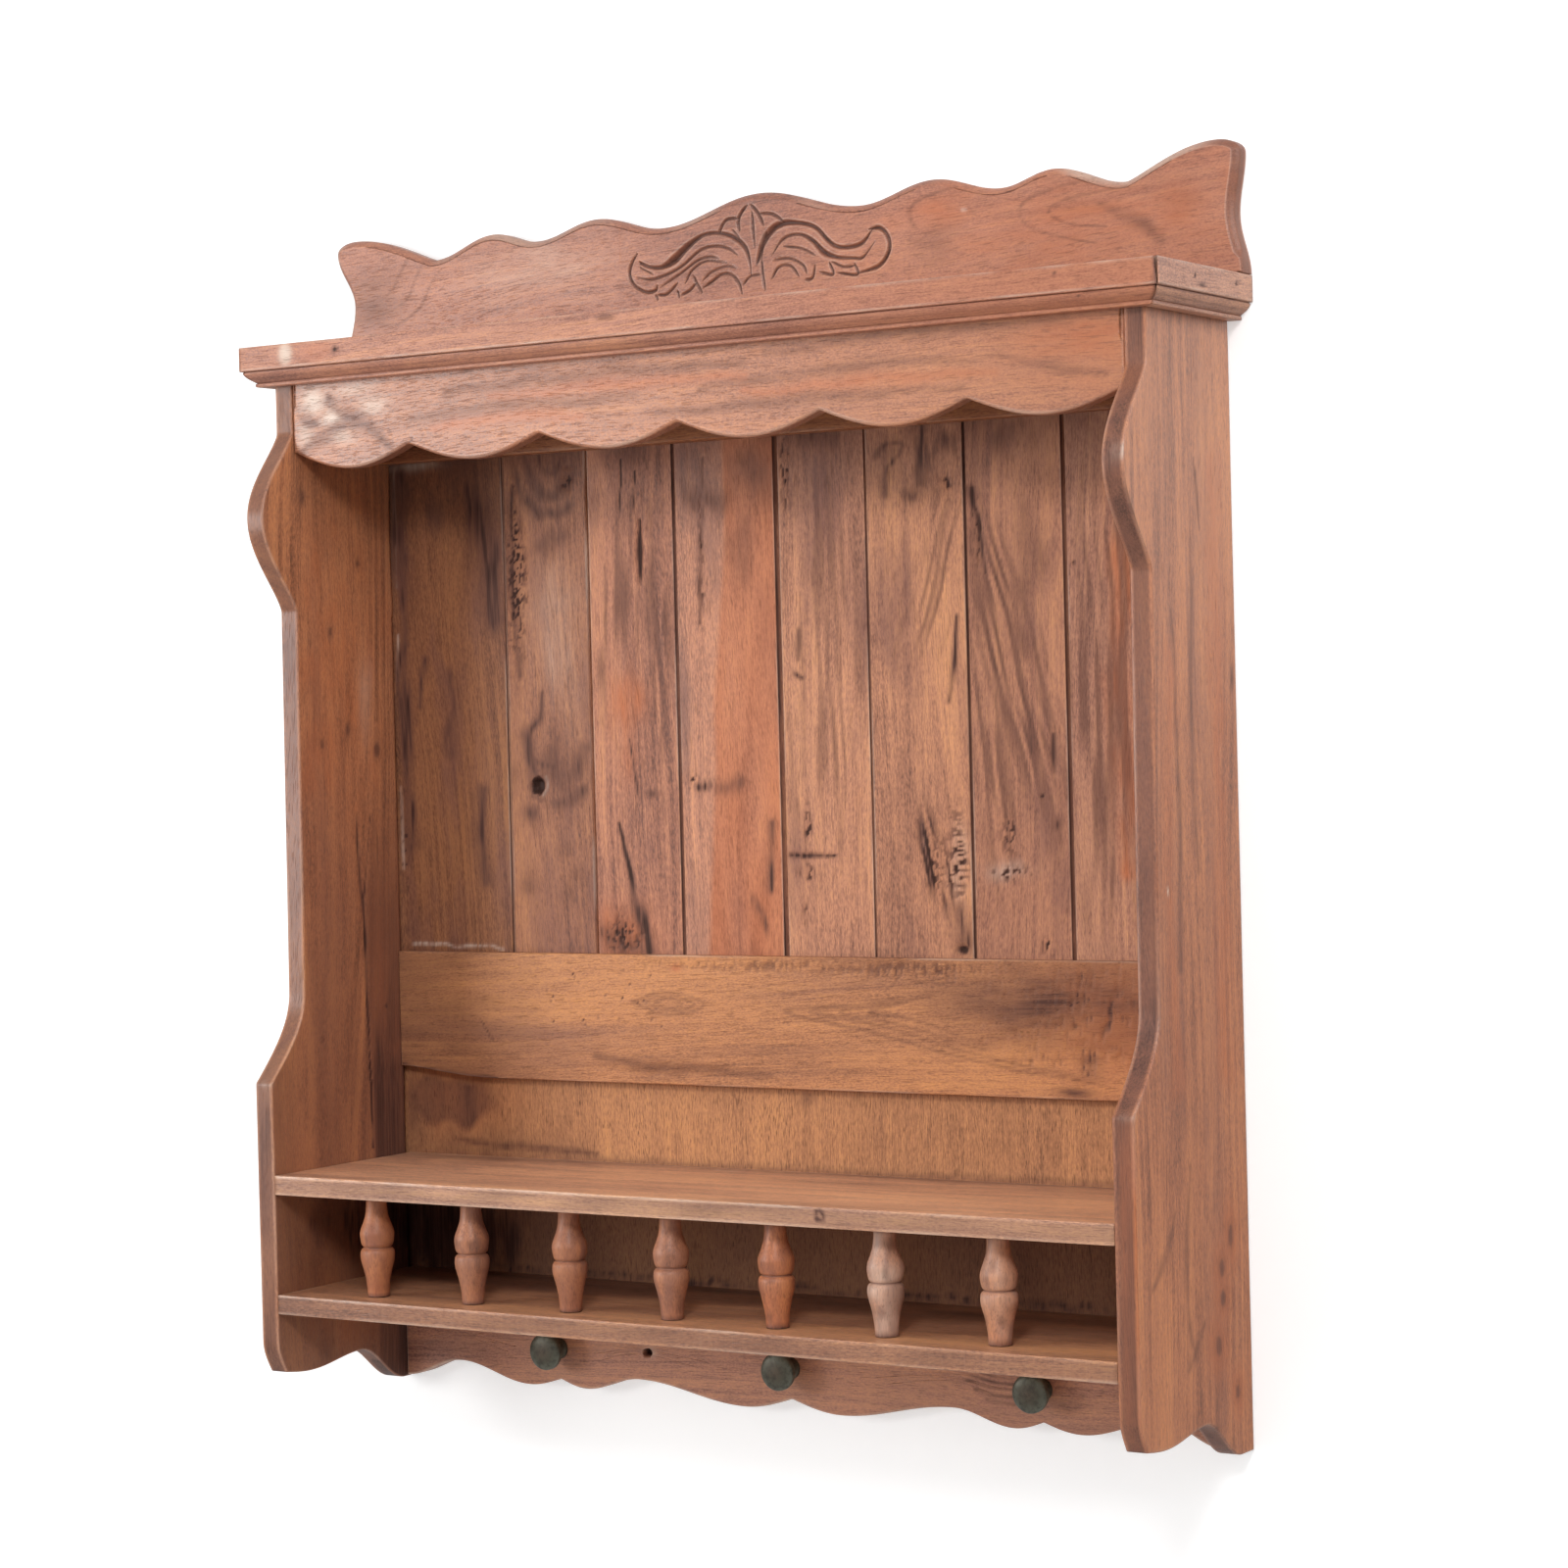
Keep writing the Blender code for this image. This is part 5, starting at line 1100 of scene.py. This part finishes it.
def front_place(s, out, height):
    """Along the front, with its right mitre opened towards the top."""
    run = (2 * s - 1) * (OUTER + out - GAP)
    opened = MITRE_GAP * np.clip((height - CORNICE_FOOT) / (TOP - CORNICE_FOOT), 0, 1) ** 1.5
    return run - opened * np.clip((s - 0.985) / 0.015, 0, 1), -(UPPER_DEPTH + out), height + feet


cornice_wood = timber("cornice_wood", "x", (0.465, 0.208, 0.136), 40, (0.1, 0.06), (0.02, 0.02), saw=0.04,
                      figure=0.8, streaks=0.4, dash=400, mauve=0.3, gloss=0.4, shine=0.27)
moulding("moulded_cornice_front", front_place, 2 * (OUTER + FASCIA_OUT), cornice_wood, "cornice_front",
         front_marks)
return_wood = timber("return_wood", "y", (0.53, 0.265, 0.175), 42, (0.1, 0.06), dash=400, streaks=0.4,
                     saw=0.06, mauve=0.3, gloss=0.38)
for hand, word in ((-1, "left"), (1, "right")):
    def return_place(s, out, height, hand=hand):
        return hand * (OUTER + out), -(1 - s) * (UPPER_DEPTH + out - GAP), height + feet

    moulding(f"moulded_cornice_{word}", return_place, UPPER_DEPTH + FASCIA_OUT, return_wood,
             f"cornice_{word}", right_marks if hand > 0 else lambda paint, points: None)

# Cresting: a waved board with eared ends on the back of the top board, its upper edge chamfered.
# A palmette between acanthus scrolls is cut in its middle with a gouge, and wax has darkened the cuts.
CREST_T = 0.016
CREST_HALF = OUTER + FASCIA_OUT
CREST_WAVES = ((0.0, 0.101), (0.222, 0.082), (0.377, 0.0955), (0.519, 0.083), (0.627, 0.093), (0.774, 0.077))
EAR_SHARE, EAR_RISE, EAR_TIP_DROP, EAR_OUT, EAR_LEAN = 0.962, 0.1005, 0.0095, 0.0035, 0.006
WAIST_IN, WAIST_SHARE = 0.008, 0.45
CHAMFER, CHAMFER_STOP = 0.0045, 0.014
CARVED_HALF = 0.132


def crest_half(hand):
    """Upper edge from the middle to the ear's tip, then the end from the tip down to the foot."""
    lean = -hand * EAR_LEAN
    crests = [(share * CREST_HALF, TOP + rise) for share, rise in CREST_WAVES]
    ear_top = (EAR_SHARE * CREST_HALF + lean, TOP + EAR_RISE)
    tip = (CREST_HALF + EAR_OUT + lean, ear_top[1] - EAR_TIP_DROP)
    turn = np.linspace(0, np.pi / 2, 17)
    tip_round = np.column_stack((ear_top[0] + (tip[0] - ear_top[0]) * np.sin(turn),
                                 ear_top[1] + (tip[1] - ear_top[1]) * (1 - np.cos(turn))))
    upper = np.vstack([level_run(a, b, swell) for a, b in zip(crests, crests[1:])]
                      + [level_run(crests[-1], ear_top, sweep, 1.15), tip_round])
    waist = (CREST_HALF - WAIST_IN, TOP + EAR_RISE * WAIST_SHARE)
    end = np.vstack((upright_run(tip, waist, swell), upright_run(waist, (CREST_HALF, TOP + GAP), swell)))
    return upper, end


(upper_left, end_left), (upper_right, end_right) = crest_half(-1), crest_half(1)
upper = np.vstack((upper_left[::-1] * MIRROR, upper_right[1:]))
carved = CARVED_HALF / CREST_HALF / 2
across = np.concatenate((np.linspace(0, 0.5 - carved, 110)[:-1],
                         np.linspace(0.5 - carved, 0.5 + carved, 330)[:-1],
                         np.linspace(0.5 + carved, 1, 110)))
up = cells(1, 1 / 104)
crest_foot = [(-CREST_HALF, TOP + GAP), (CREST_HALF, TOP + GAP)]
n, m = len(across) - 1, len(up) - 1
loop_height = np.concatenate((np.zeros(n), evenly(end_right[::-1], up)[:-1, 1] - TOP, np.full(n, 1.0),
                              evenly(end_left[::-1], up)[:0:-1, 1] - TOP))
cut = np.maximum(CHAMFER * np.clip((loop_height - CHAMFER_STOP + 0.004) / 0.008, 0, 1), 0.0008)
eased = [(cut + 0.0010, 0 * cut), (cut * 0.96, 0.0003 + 0 * cut), (cut * 0.5, cut * 0.52),
         (0.0003 + 0 * cut, cut), (0 * cut, cut + 0.0012)]
crest = Board(crest_foot, upper, end_left[::-1] * MIRROR, end_right[::-1], CREST_T, across, up, arris=0.0012,
              levels=(0.0085, 0.0115), eased=eased, level_grain=True)
# The pale along the chamfered top edge is partly worn wood and partly a painted highlight.
crest.worn(0.5, 111, edge_dirt=0.35)
# Painted shade on the chamfer of the right end, in place of its pale wear.
right_end_shade = crest.edge * np.clip((crest.a - 0.385) / 0.02, 0, 1)
crest.paint[:, PALE] *= 1 - right_end_shade
crest.stain(DARK, 0.5 * right_end_shade)

# Each cut of the carving: points in millimetres from the middle and over the top board, and half widths
LEFT_SCROLL = [(-117, 57), (-104, 51), (-92, 50), (-80, 55), (-66, 65), (-51, 72), (-36, 72), (-22, 67),
               (-12, 58), (-8, 46), (-7, 35)]
RIGHT_SCROLL = [(3, 48), (5, 59), (12, 69), (23, 74), (39, 73), (54, 68), (65, 57), (74, 51), (88, 50),
                (98, 53), (106, 62)]
CUTS = (
    (LEFT_SCROLL, (2.5, 1.4, 1.6, 3.0, 2.2, 1.3, 1.3, 1.7, 1.7, 1.2, 1.0)),
    ([(-116, 63), (-122, 55), (-124, 46), (-119, 37), (-108, 31), (-99, 32), (-97, 36)], 1.3),
    ([(-117, 44), (-104, 41), (-90, 43), (-73, 49), (-55, 60), (-41, 62), (-28, 59), (-19, 53)], 1.1),
    ([(-94, 34), (-75, 43), (-58, 52), (-46, 54), (-37, 52)], 1.0),
    ([(-70, 35), (-63, 45), (-49, 51), (-30, 48)], 1.0),
    ([(-53, 36), (-44, 42), (-30, 45), (-21, 43)], 1.0),
    ([(-53, 30), (-45, 34), (-35, 39), (-26, 38), (-19, 31), (-16, 22)], 1.2),
    ([(-97, 28), (-88, 28), (-77, 36)], 1.1),
    ([(-74, 26), (-66, 29), (-60, 34)], 1.1),
    ([(-62, 40), (-59, 34), (-54, 26)], 1.1),
    ([(-78, 30), (-76, 24)], 1.0),
    ([(-99, 28), (-97, 24)], 1.0),
    ([(-114, 52), (-109, 49), (-101, 45)], 0.8),
    ([(-9, 92), (-16, 85), (-18, 78), (-17, 72)], 1.3),
    ([(-17, 82), (-29, 82), (-35, 75), (-36, 72)], 1.2),
    ([(-24, 74), (-17, 66)], 0.9),
    ([(-5, 87), (-4, 72), (-3, 57)], (0.8, 1.4, 0.8)),
    ([(-6, 92), (1, 84), (6, 74)], 1.3),
    ([(-15, 29), (-8, 35), (2, 36)], 1.0),
    ([(8, 69), (3, 57), (-2, 43)], (1.4, 2.0, 1.2)),
    ([(3, 48), (4, 35), (6, 23)], 1.1),
    (RIGHT_SCROLL, (1.2, 1.8, 2.5, 2.2, 1.5, 1.5, 1.6, 1.5, 1.5, 1.6, 1.4)),
    ([(103, 62), (113, 62), (120, 54), (120, 43), (111, 33), (93, 29)], 1.5),
    ([(13, 50), (24, 62), (39, 64), (51, 58), (61, 48), (73, 43), (88, 41), (97, 41), (108, 52)],
     (1.1, 1.2, 1.1, 1.6, 2.2, 1.4, 1.1, 1.1, 0.9)),
    ([(24, 56), (40, 53), (54, 46)], 1.0),
    ([(14, 46), (29, 46), (41, 40), (45, 33)], 1.1),
    ([(12, 31), (19, 40), (30, 40), (38, 31)], 1.1),
    ([(53, 39), (50, 29), (43, 28)], 1.1),
    ([(57, 33), (69, 30), (66, 40)], 1.1),
    ([(73, 31), (91, 28), (89, 37)], 1.1),
    ([(68, 40), (79, 35), (89, 35)], 1.0),
    ([(3, 84), (15, 82), (25, 75)], 1.2),
)
CUT_DEPTH = 1.3
for line, width in CUTS:
    path = bend(np.asarray(line, float)) * MM
    path[:, 1] += TOP
    width = np.atleast_1d(np.asarray(width, float)) * MM * 1.36
    width = np.interp(np.linspace(0, 1, len(path)), np.linspace(0, 1, len(width)), width)
    ends = np.minimum(np.linspace(0, 1, len(path)), np.linspace(1, 0, len(path)))
    width = width * (0.45 + 0.55 * np.clip(ends / 0.14, 0, 1))
    close = (np.abs(crest.a - path[:, 0].mean()) < np.ptp(path[:, 0]) / 2 + 0.006) & (crest.show > 0.9)
    away = closeness(crest.a[close], crest.b[close], path, width)
    groove = np.clip(1 - away ** 1.4, 0, 1)
    depth = groove * CUT_DEPTH * np.interp(crest.a[close], *(np.array(sorted(zip(path[:, 0], width))).T))
    base = crest.d[close]
    crest.d[close] = np.maximum(base, depth + 0.0002)
    crest.paint[close, DARK] = np.maximum(crest.paint[close, DARK], 0.76 * np.clip(groove * 1.2, 0, 1))
    rim = np.exp(-((away - 1.25) / 0.22) ** 2)
    crest.paint[close, PALE] = np.maximum(crest.paint[close, PALE], 0.28 * rim)
crest.spot(DARK, (0, TOP / MM + 50), (120, 34), 0.16, ragged=0.5)
crest.spot(DARK, (-388, 876), (30, 24), 0.42, ragged=0.4)
CREST_ARCS = ([(313, 918), (287, 915), (253, 910), (236, 899), (246, 885), (272, 875), (302, 868)],
              [(193, 922), (165, 920), (144, 913), (140, 903), (147, 893), (164, 884)],
              [(330, 908), (300, 906), (268, 901), (262, 893), (280, 884), (310, 880)],
              [(-405, 887), (-383, 882), (-367, 893), (-359, 904), (-351, 916)],
              [(-400, 871), (-372, 872), (-352, 882), (-344, 897), (-336, 908)],
              [(-392, 862), (-362, 862), (-338, 874), (-328, 890), (-318, 902)])
for i, line in enumerate(CREST_ARCS):
    crest.streak(DARK, line, (1.0, 1.8, 1.5, 1.0), 0.4, ragged=0.4, seed=81 + i)
crest.streak(DARK, [(305, 898), (329, 884), (356, 868)], (4, 8, 5), 0.42, ragged=0.4)
for middle, size in (((288, 893), (55, 13)), ((165, 904), (28, 13)), ((372, 890), (26, 22))):
    crest.spot(RED, middle, size, 0.7, ragged=0.4)
# Painted sheen on the left of the face.
crest.spot(PALE, (-218, 895), (75, 22), 0.2, ragged=0.6)
crest.stain(DARK, 0.11 * np.clip((crest.a - 0.08) / 0.2, 0, 1) * (0.6 + 0.8 * crest.mist(0.008, 0.03, 88)))
crest.spot(DARK, (160, 880), (26, 16), 0.3, ragged=0.5)
crest.spot(DARK, (378, 892), (30, 14), 0.22, ragged=0.5)
crest.spot(PALE, (188, 904), (1.4, 1.4), 1.0, ragged=0.1)
crest.spot(RED, (300, TOP / MM + 50), (150, 50), 0.4, ragged=0.9)
crest_wood = timber("cresting_wood", "x", (0.435, 0.180, 0.112), 44, (0.02, 0.045), (0.04, 0.06), rings=170,
                    figure=0.6, streaks=0.35, dash=420, saw=0.02, mauve=0.3, gloss=0.38)
crest.finish("carved_cresting", facing_room(CREST_T), crest_wood, "hardwood", "cresting")

# Peg rail: a scalloped apron under the lower shelf, lapped into the sides, bored for the knobs.
# Mid brown, with its lower arris rubbed pale and one empty old hole.
PEG_T = 0.0175
PEG_SHIFT = 0.0055
PEG_CUSP = 0.593
PEG_TOP = 0.0452
PEG_WAVES = ((0.0, -0.0215), (0.118, -0.031), (0.387, -0.0168), (0.525, -0.0285), (PEG_CUSP, -0.022),
             (0.677, -0.029), (0.8625, -0.014), (1.0, -0.030))


def peg_half(hand):
    """Lower edge from the middle outwards, with sharp cusps under the knobs."""
    lows = [(share * shelf_end + hand * PEG_SHIFT * (share < 1), height) for share, height in PEG_WAVES]
    runs = []
    for i, (a, b) in enumerate(zip(lows, lows[1:])):
        if PEG_WAVES[i][0] in (0.0, PEG_CUSP):
            runs.append(level_run(a, b, sweep))
        elif PEG_WAVES[i + 1][0] == PEG_CUSP:
            runs.append(level_run(b, a, sweep)[::-1])
        else:
            runs.append(level_run(a, b, swell))
    return np.vstack(runs)


peg_edge = np.vstack((peg_half(-1)[::-1] * MIRROR, peg_half(1)[1:]))
# The grid is finer about the old hole
across = np.union1d(cells(2 * INNER * 1.02, 0.0021), np.linspace(0.31, 0.342, 50))
up = np.union1d(cells(PEG_TOP + 0.022, 0.0021), np.linspace(0.3, 0.52, 34))
apron = Board(peg_edge, [(-shelf_end, PEG_TOP), (shelf_end, PEG_TOP)],
              [(-shelf_end, peg_edge[0][1]), (-shelf_end, PEG_TOP)],
              [(shelf_end, peg_edge[-1][1]), (shelf_end, PEG_TOP)], PEG_T, across, up, arris=0.0016,
              grid_behind=True, level_grain=True)
apron.worn(0.4, 121, edge_dirt=0.2)
apron.spot(PALE, (-131, 6), (6.0, 4.5), 0.4, ragged=0.3)
# Painted shade inside the old hole, which is also sunk into the wood.
hole = np.clip((1 - np.hypot((apron.a / MM + 133) / 5.0, (apron.b / MM - 6) / 3.6)) / 0.3, 0, 1)
apron.stain(DARK, hole)
apron.sink(0.008 * hole)
for i in range(5):
    line = [(150 + 8 * i, 20 - 7 * i), (200, 10 - 5 * i), (250 - 6 * i, 22 - 8 * i)]
    apron.streak(DARK, line, 1.6, 0.5, ragged=0.7, seed=60 + i)
apron_wood = timber("apron_wood", "x", (0.475, 0.21, 0.13), 47, (0.05, 0.04), (0.03, 0.04), rings=170,
                    figure=1.0, dash=380, mauve=0.5)
apron.finish("scalloped_apron", facing_room(PEG_T), apron_wood, "hardwood", "peg_rail")

# Knobs: three cast mushroom knobs on the peg rail, each drawn tight by a screw from behind.
# Bronze with a dark olive skin, rubbed bright at the rim and green where damp has sat.
KNOBS = 3
KNOB_OUT, KNOB_R, KNOB_HEIGHT = 0.0235, 0.015, 0.0035
KNOB_PROFILE = ((0.0, 0.587), (0.06, 0.57), (0.16, 0.50), (0.30, 0.453), (0.42, 0.49), (0.54, 0.66),
                (0.64, 0.86), (0.70, 0.965), (0.735, 1.0), (0.86, 1.0), (0.89, 0.975), (0.92, 0.91),
                (0.945, 0.81), (0.965, 0.68), (0.98, 0.53), (0.99, 0.36), (1.0, 0.0))
knob_skin, make = fresh_material("olive_bronze")
here = make.add("ShaderNodeTexCoord", out="Object")
blotch = make.noise(here, (190, 190, 190), 4.0, 0.65)
fine = make.noise(here, (900, 900, 900), 2.0)
knob_step = PEG_CUSP * INNER
part = make.add("ShaderNodeSeparateXYZ", {"Vector": here}).node.outputs
level = make.math("WRAP", make.math("SUBTRACT", part["X"], PEG_SHIFT), knob_step / 2, -knob_step / 2)
height = make.math("SUBTRACT", part["Z"], feet + KNOB_HEIGHT)
spot = make.add("ShaderNodeCombineXYZ", {"X": level, "Y": height})
away = make.vector("LENGTH", spot).node.outputs["Value"]
away = make.math("MULTIPLY_ADD", blotch, 0.7, make.math("DIVIDE", away, KNOB_R))
colour = make.add("ShaderNodeValToRGB", {"Fac": make.math("MULTIPLY", away, 0.6)})
ramp = colour.node.color_ramp
ramp.elements.new(0.5)
knob_shades = ((0.25, (0.10, 0.072, 0.046, 1)), (0.58, (0.082, 0.075, 0.050, 1)),
               (0.82, (0.115, 0.117, 0.086, 1)))
for element, (place, shade) in zip(ramp.elements, knob_shades):
    element.position, element.color = place, shade
dull = make.add("ShaderNodeMapRange", {"Value": blotch, "From Min": 0.30, "From Max": 0.55, "To Min": 0.7,
                                       "To Max": 0.0})
colour = make.mix(dull, colour, (0.022, 0.021, 0.015, 1))
rough = make.math("MULTIPLY_ADD", fine, 0.4, 0.2)
bump = make.add("ShaderNodeBump", {"Height": make.math("MULTIPLY_ADD", fine, 0.3, blotch), "Strength": 0.3,
                                   "Distance": 0.0004})
make.close(make.add("ShaderNodeBsdfPrincipled", {"Base Color": colour, "Roughness": rough, "Metallic": 0.35,
                                                 "Normal": bump}))
knob_tree, knob_ids = turnery("mushroom_knobs", KNOB_PROFILE, 120, 56)
turn_row("mushroom_knobs", knob_tree, knob_ids, {
    "Copies": KNOBS, "Length": KNOB_OUT - GAP, "Radius": KNOB_R,
    "First": (PEG_SHIFT - knob_step, -PEG_T - GAP, feet + KNOB_HEIGHT), "Step": (knob_step, 0.0, 0.0),
    "Turn": (math.pi / 2, 0.0, 0.0), "Unevenness": 0.0002, "Groove": 0.30, "Wood": knob_skin,
}, [f"knob_{i + 1}" for i in range(KNOBS)])

# Nails, screws and hanger plates: plain dark steel, a little rusty, as they come off the bench.
# Nails hold the cornice, screws the top board, cresting and knobs; two keyhole plates hang the shelf.
steel, make = fresh_material("rusty_steel")
here = make.add("ShaderNodeTexCoord", out="Object")
rust = make.add("ShaderNodeMapRange", {"Value": make.noise(here, (420, 420, 420), 4.0), "From Min": 0.46,
                                       "From Max": 0.62})
colour = make.mix(rust, (0.17, 0.16, 0.15, 1), (0.13, 0.055, 0.028, 1))
make.close(make.add("ShaderNodeBsdfPrincipled", {
    "Base Color": colour, "Roughness": make.math("MULTIPLY_ADD", rust, 0.35, 0.38),
    "Metallic": make.math("MULTIPLY_ADD", rust, -0.7, 0.9),
    "Normal": make.add("ShaderNodeBump", {"Height": rust, "Strength": 0.3, "Distance": 0.0003})}))
for name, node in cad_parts.items():
    if "nail" in name or "screw" in name or "hanger" in name:
        node.data.materials.clear()
        node.data.materials.append(steel)

# Studio: a white room with a pale floor below and a wall that only the camera sees.
# A soft lamp stands to the left, a broad one to the right, and the room itself fills the shadows.
FLOOR_DROP = 0.75
WALL_WHITE, WALL_GLOW = 0.75, 0.40
ROOM_FILL = 0.39
LAMP_AWAY = 2.6
CAMERA_PLACE = (1.56754, -2.45823, -0.27005)
CAMERA_TURN = (89.1535, 1.4511, 32.4708)
CAMERA_LENS, CAMERA_SENSOR = 83.973, 36


def pale_surface(name, solid_for_light):
    """White paint that keeps shadows and is lifted to white for the camera."""
    material, make = fresh_material(name)
    path = make.add("ShaderNodeLightPath", out="Is Camera Ray")
    matt = make.add("ShaderNodeBsdfDiffuse", {"Color": (WALL_WHITE, WALL_WHITE, WALL_WHITE, 1)})
    lift = make.math("MULTIPLY", path, WALL_GLOW)
    glow = make.add("ShaderNodeEmission", {"Color": (1, 1, 1, 1), "Strength": lift})
    seen = make.add("ShaderNodeAddShader", {0: matt, 1: glow})
    if not solid_for_light:
        clear = make.add("ShaderNodeBsdfTransparent")
        behind = make.add("ShaderNodeNewGeometry", out="Backfacing")
        shown = make.math("MULTIPLY", path, make.math("SUBTRACT", 1.0, behind))
        seen = make.add("ShaderNodeMixShader", {0: shown, 1: clear, 2: seen})
    make.close(seen)
    return material


def stage_plane(name, corners, material):
    """A flat sheet of the studio, which is not part of the shelf."""
    mesh = bpy.data.meshes.new(name)
    mesh.from_pydata(corners, [], [(0, 1, 2, 3)])
    mesh.materials.append(material)
    plane = bpy.data.objects.new(name, mesh)
    bpy.context.scene.collection.objects.link(plane)


floor_z = cad_box[0][2] - FLOOR_DROP
stage_plane("pale_floor", [(-30, -30, floor_z), (30, -30, floor_z), (30, 30, floor_z), (-30, 30, floor_z)],
            pale_surface("floor_paint", True))
stage_plane("pale_wall", [(-6, 0.001, floor_z), (6, 0.001, floor_z), (6, 0.001, 5), (-6, 0.001, 5)],
            pale_surface("wall_paint", False))

world = bpy.data.worlds.new("white_room")
bpy.context.scene.world = world
world.use_nodes = True
world.node_tree.nodes.clear()
make = Recipe(world.node_tree)
path = make.add("ShaderNodeLightPath").node.outputs
seen = make.math("MAXIMUM", path["Is Camera Ray"], path["Is Transmission Ray"])
seen = make.math("MAXIMUM", seen, path["Is Glossy Ray"])
strength = make.add("ShaderNodeMapRange", {"Value": seen, "To Min": ROOM_FILL, "To Max": 1.0})
room = make.add("ShaderNodeBackground", {"Color": (1, 1, 1, 1), "Strength": strength})
make.close(room, "ShaderNodeOutputWorld")


def soft_lamp(name, way, size, power):
    """A square lamp that looks at the middle of the shelf."""
    lamp = bpy.data.lights.new(name, "AREA")
    lamp.size = size
    lamp.energy = power
    stand = bpy.data.objects.new(name, lamp)
    middle = Vector((0, -0.1, -0.3))
    stand.location = middle + Vector(way).normalized() * LAMP_AWAY
    stand.rotation_euler = (middle - stand.location).to_track_quat("-Z", "Y").to_euler()
    bpy.context.scene.collection.objects.link(stand)


soft_lamp("left_lamp", (-0.719, -0.693, 0.06), 1.0, 32)
soft_lamp("front_lamp", (0.42, -0.78, 0.42), 0.45, 25)
soft_lamp("top_lamp", (0.2, -0.72, 0.66), 1.6, 12)
soft_lamp("right_lamp", (1.0, -0.1, 0.5), 1.4, 27)

lens = bpy.data.cameras.new("camera")
lens.lens = CAMERA_LENS
lens.sensor_width = CAMERA_SENSOR
lens.sensor_fit = "HORIZONTAL"
camera = bpy.data.objects.new("camera", lens)
camera.location = CAMERA_PLACE
camera.rotation_euler = [math.radians(turn) for turn in CAMERA_TURN]
bpy.context.scene.collection.objects.link(camera)
bpy.context.scene.camera = camera
bpy.context.scene.view_settings.view_transform = "Standard"

bpy.context.view_layer.update()
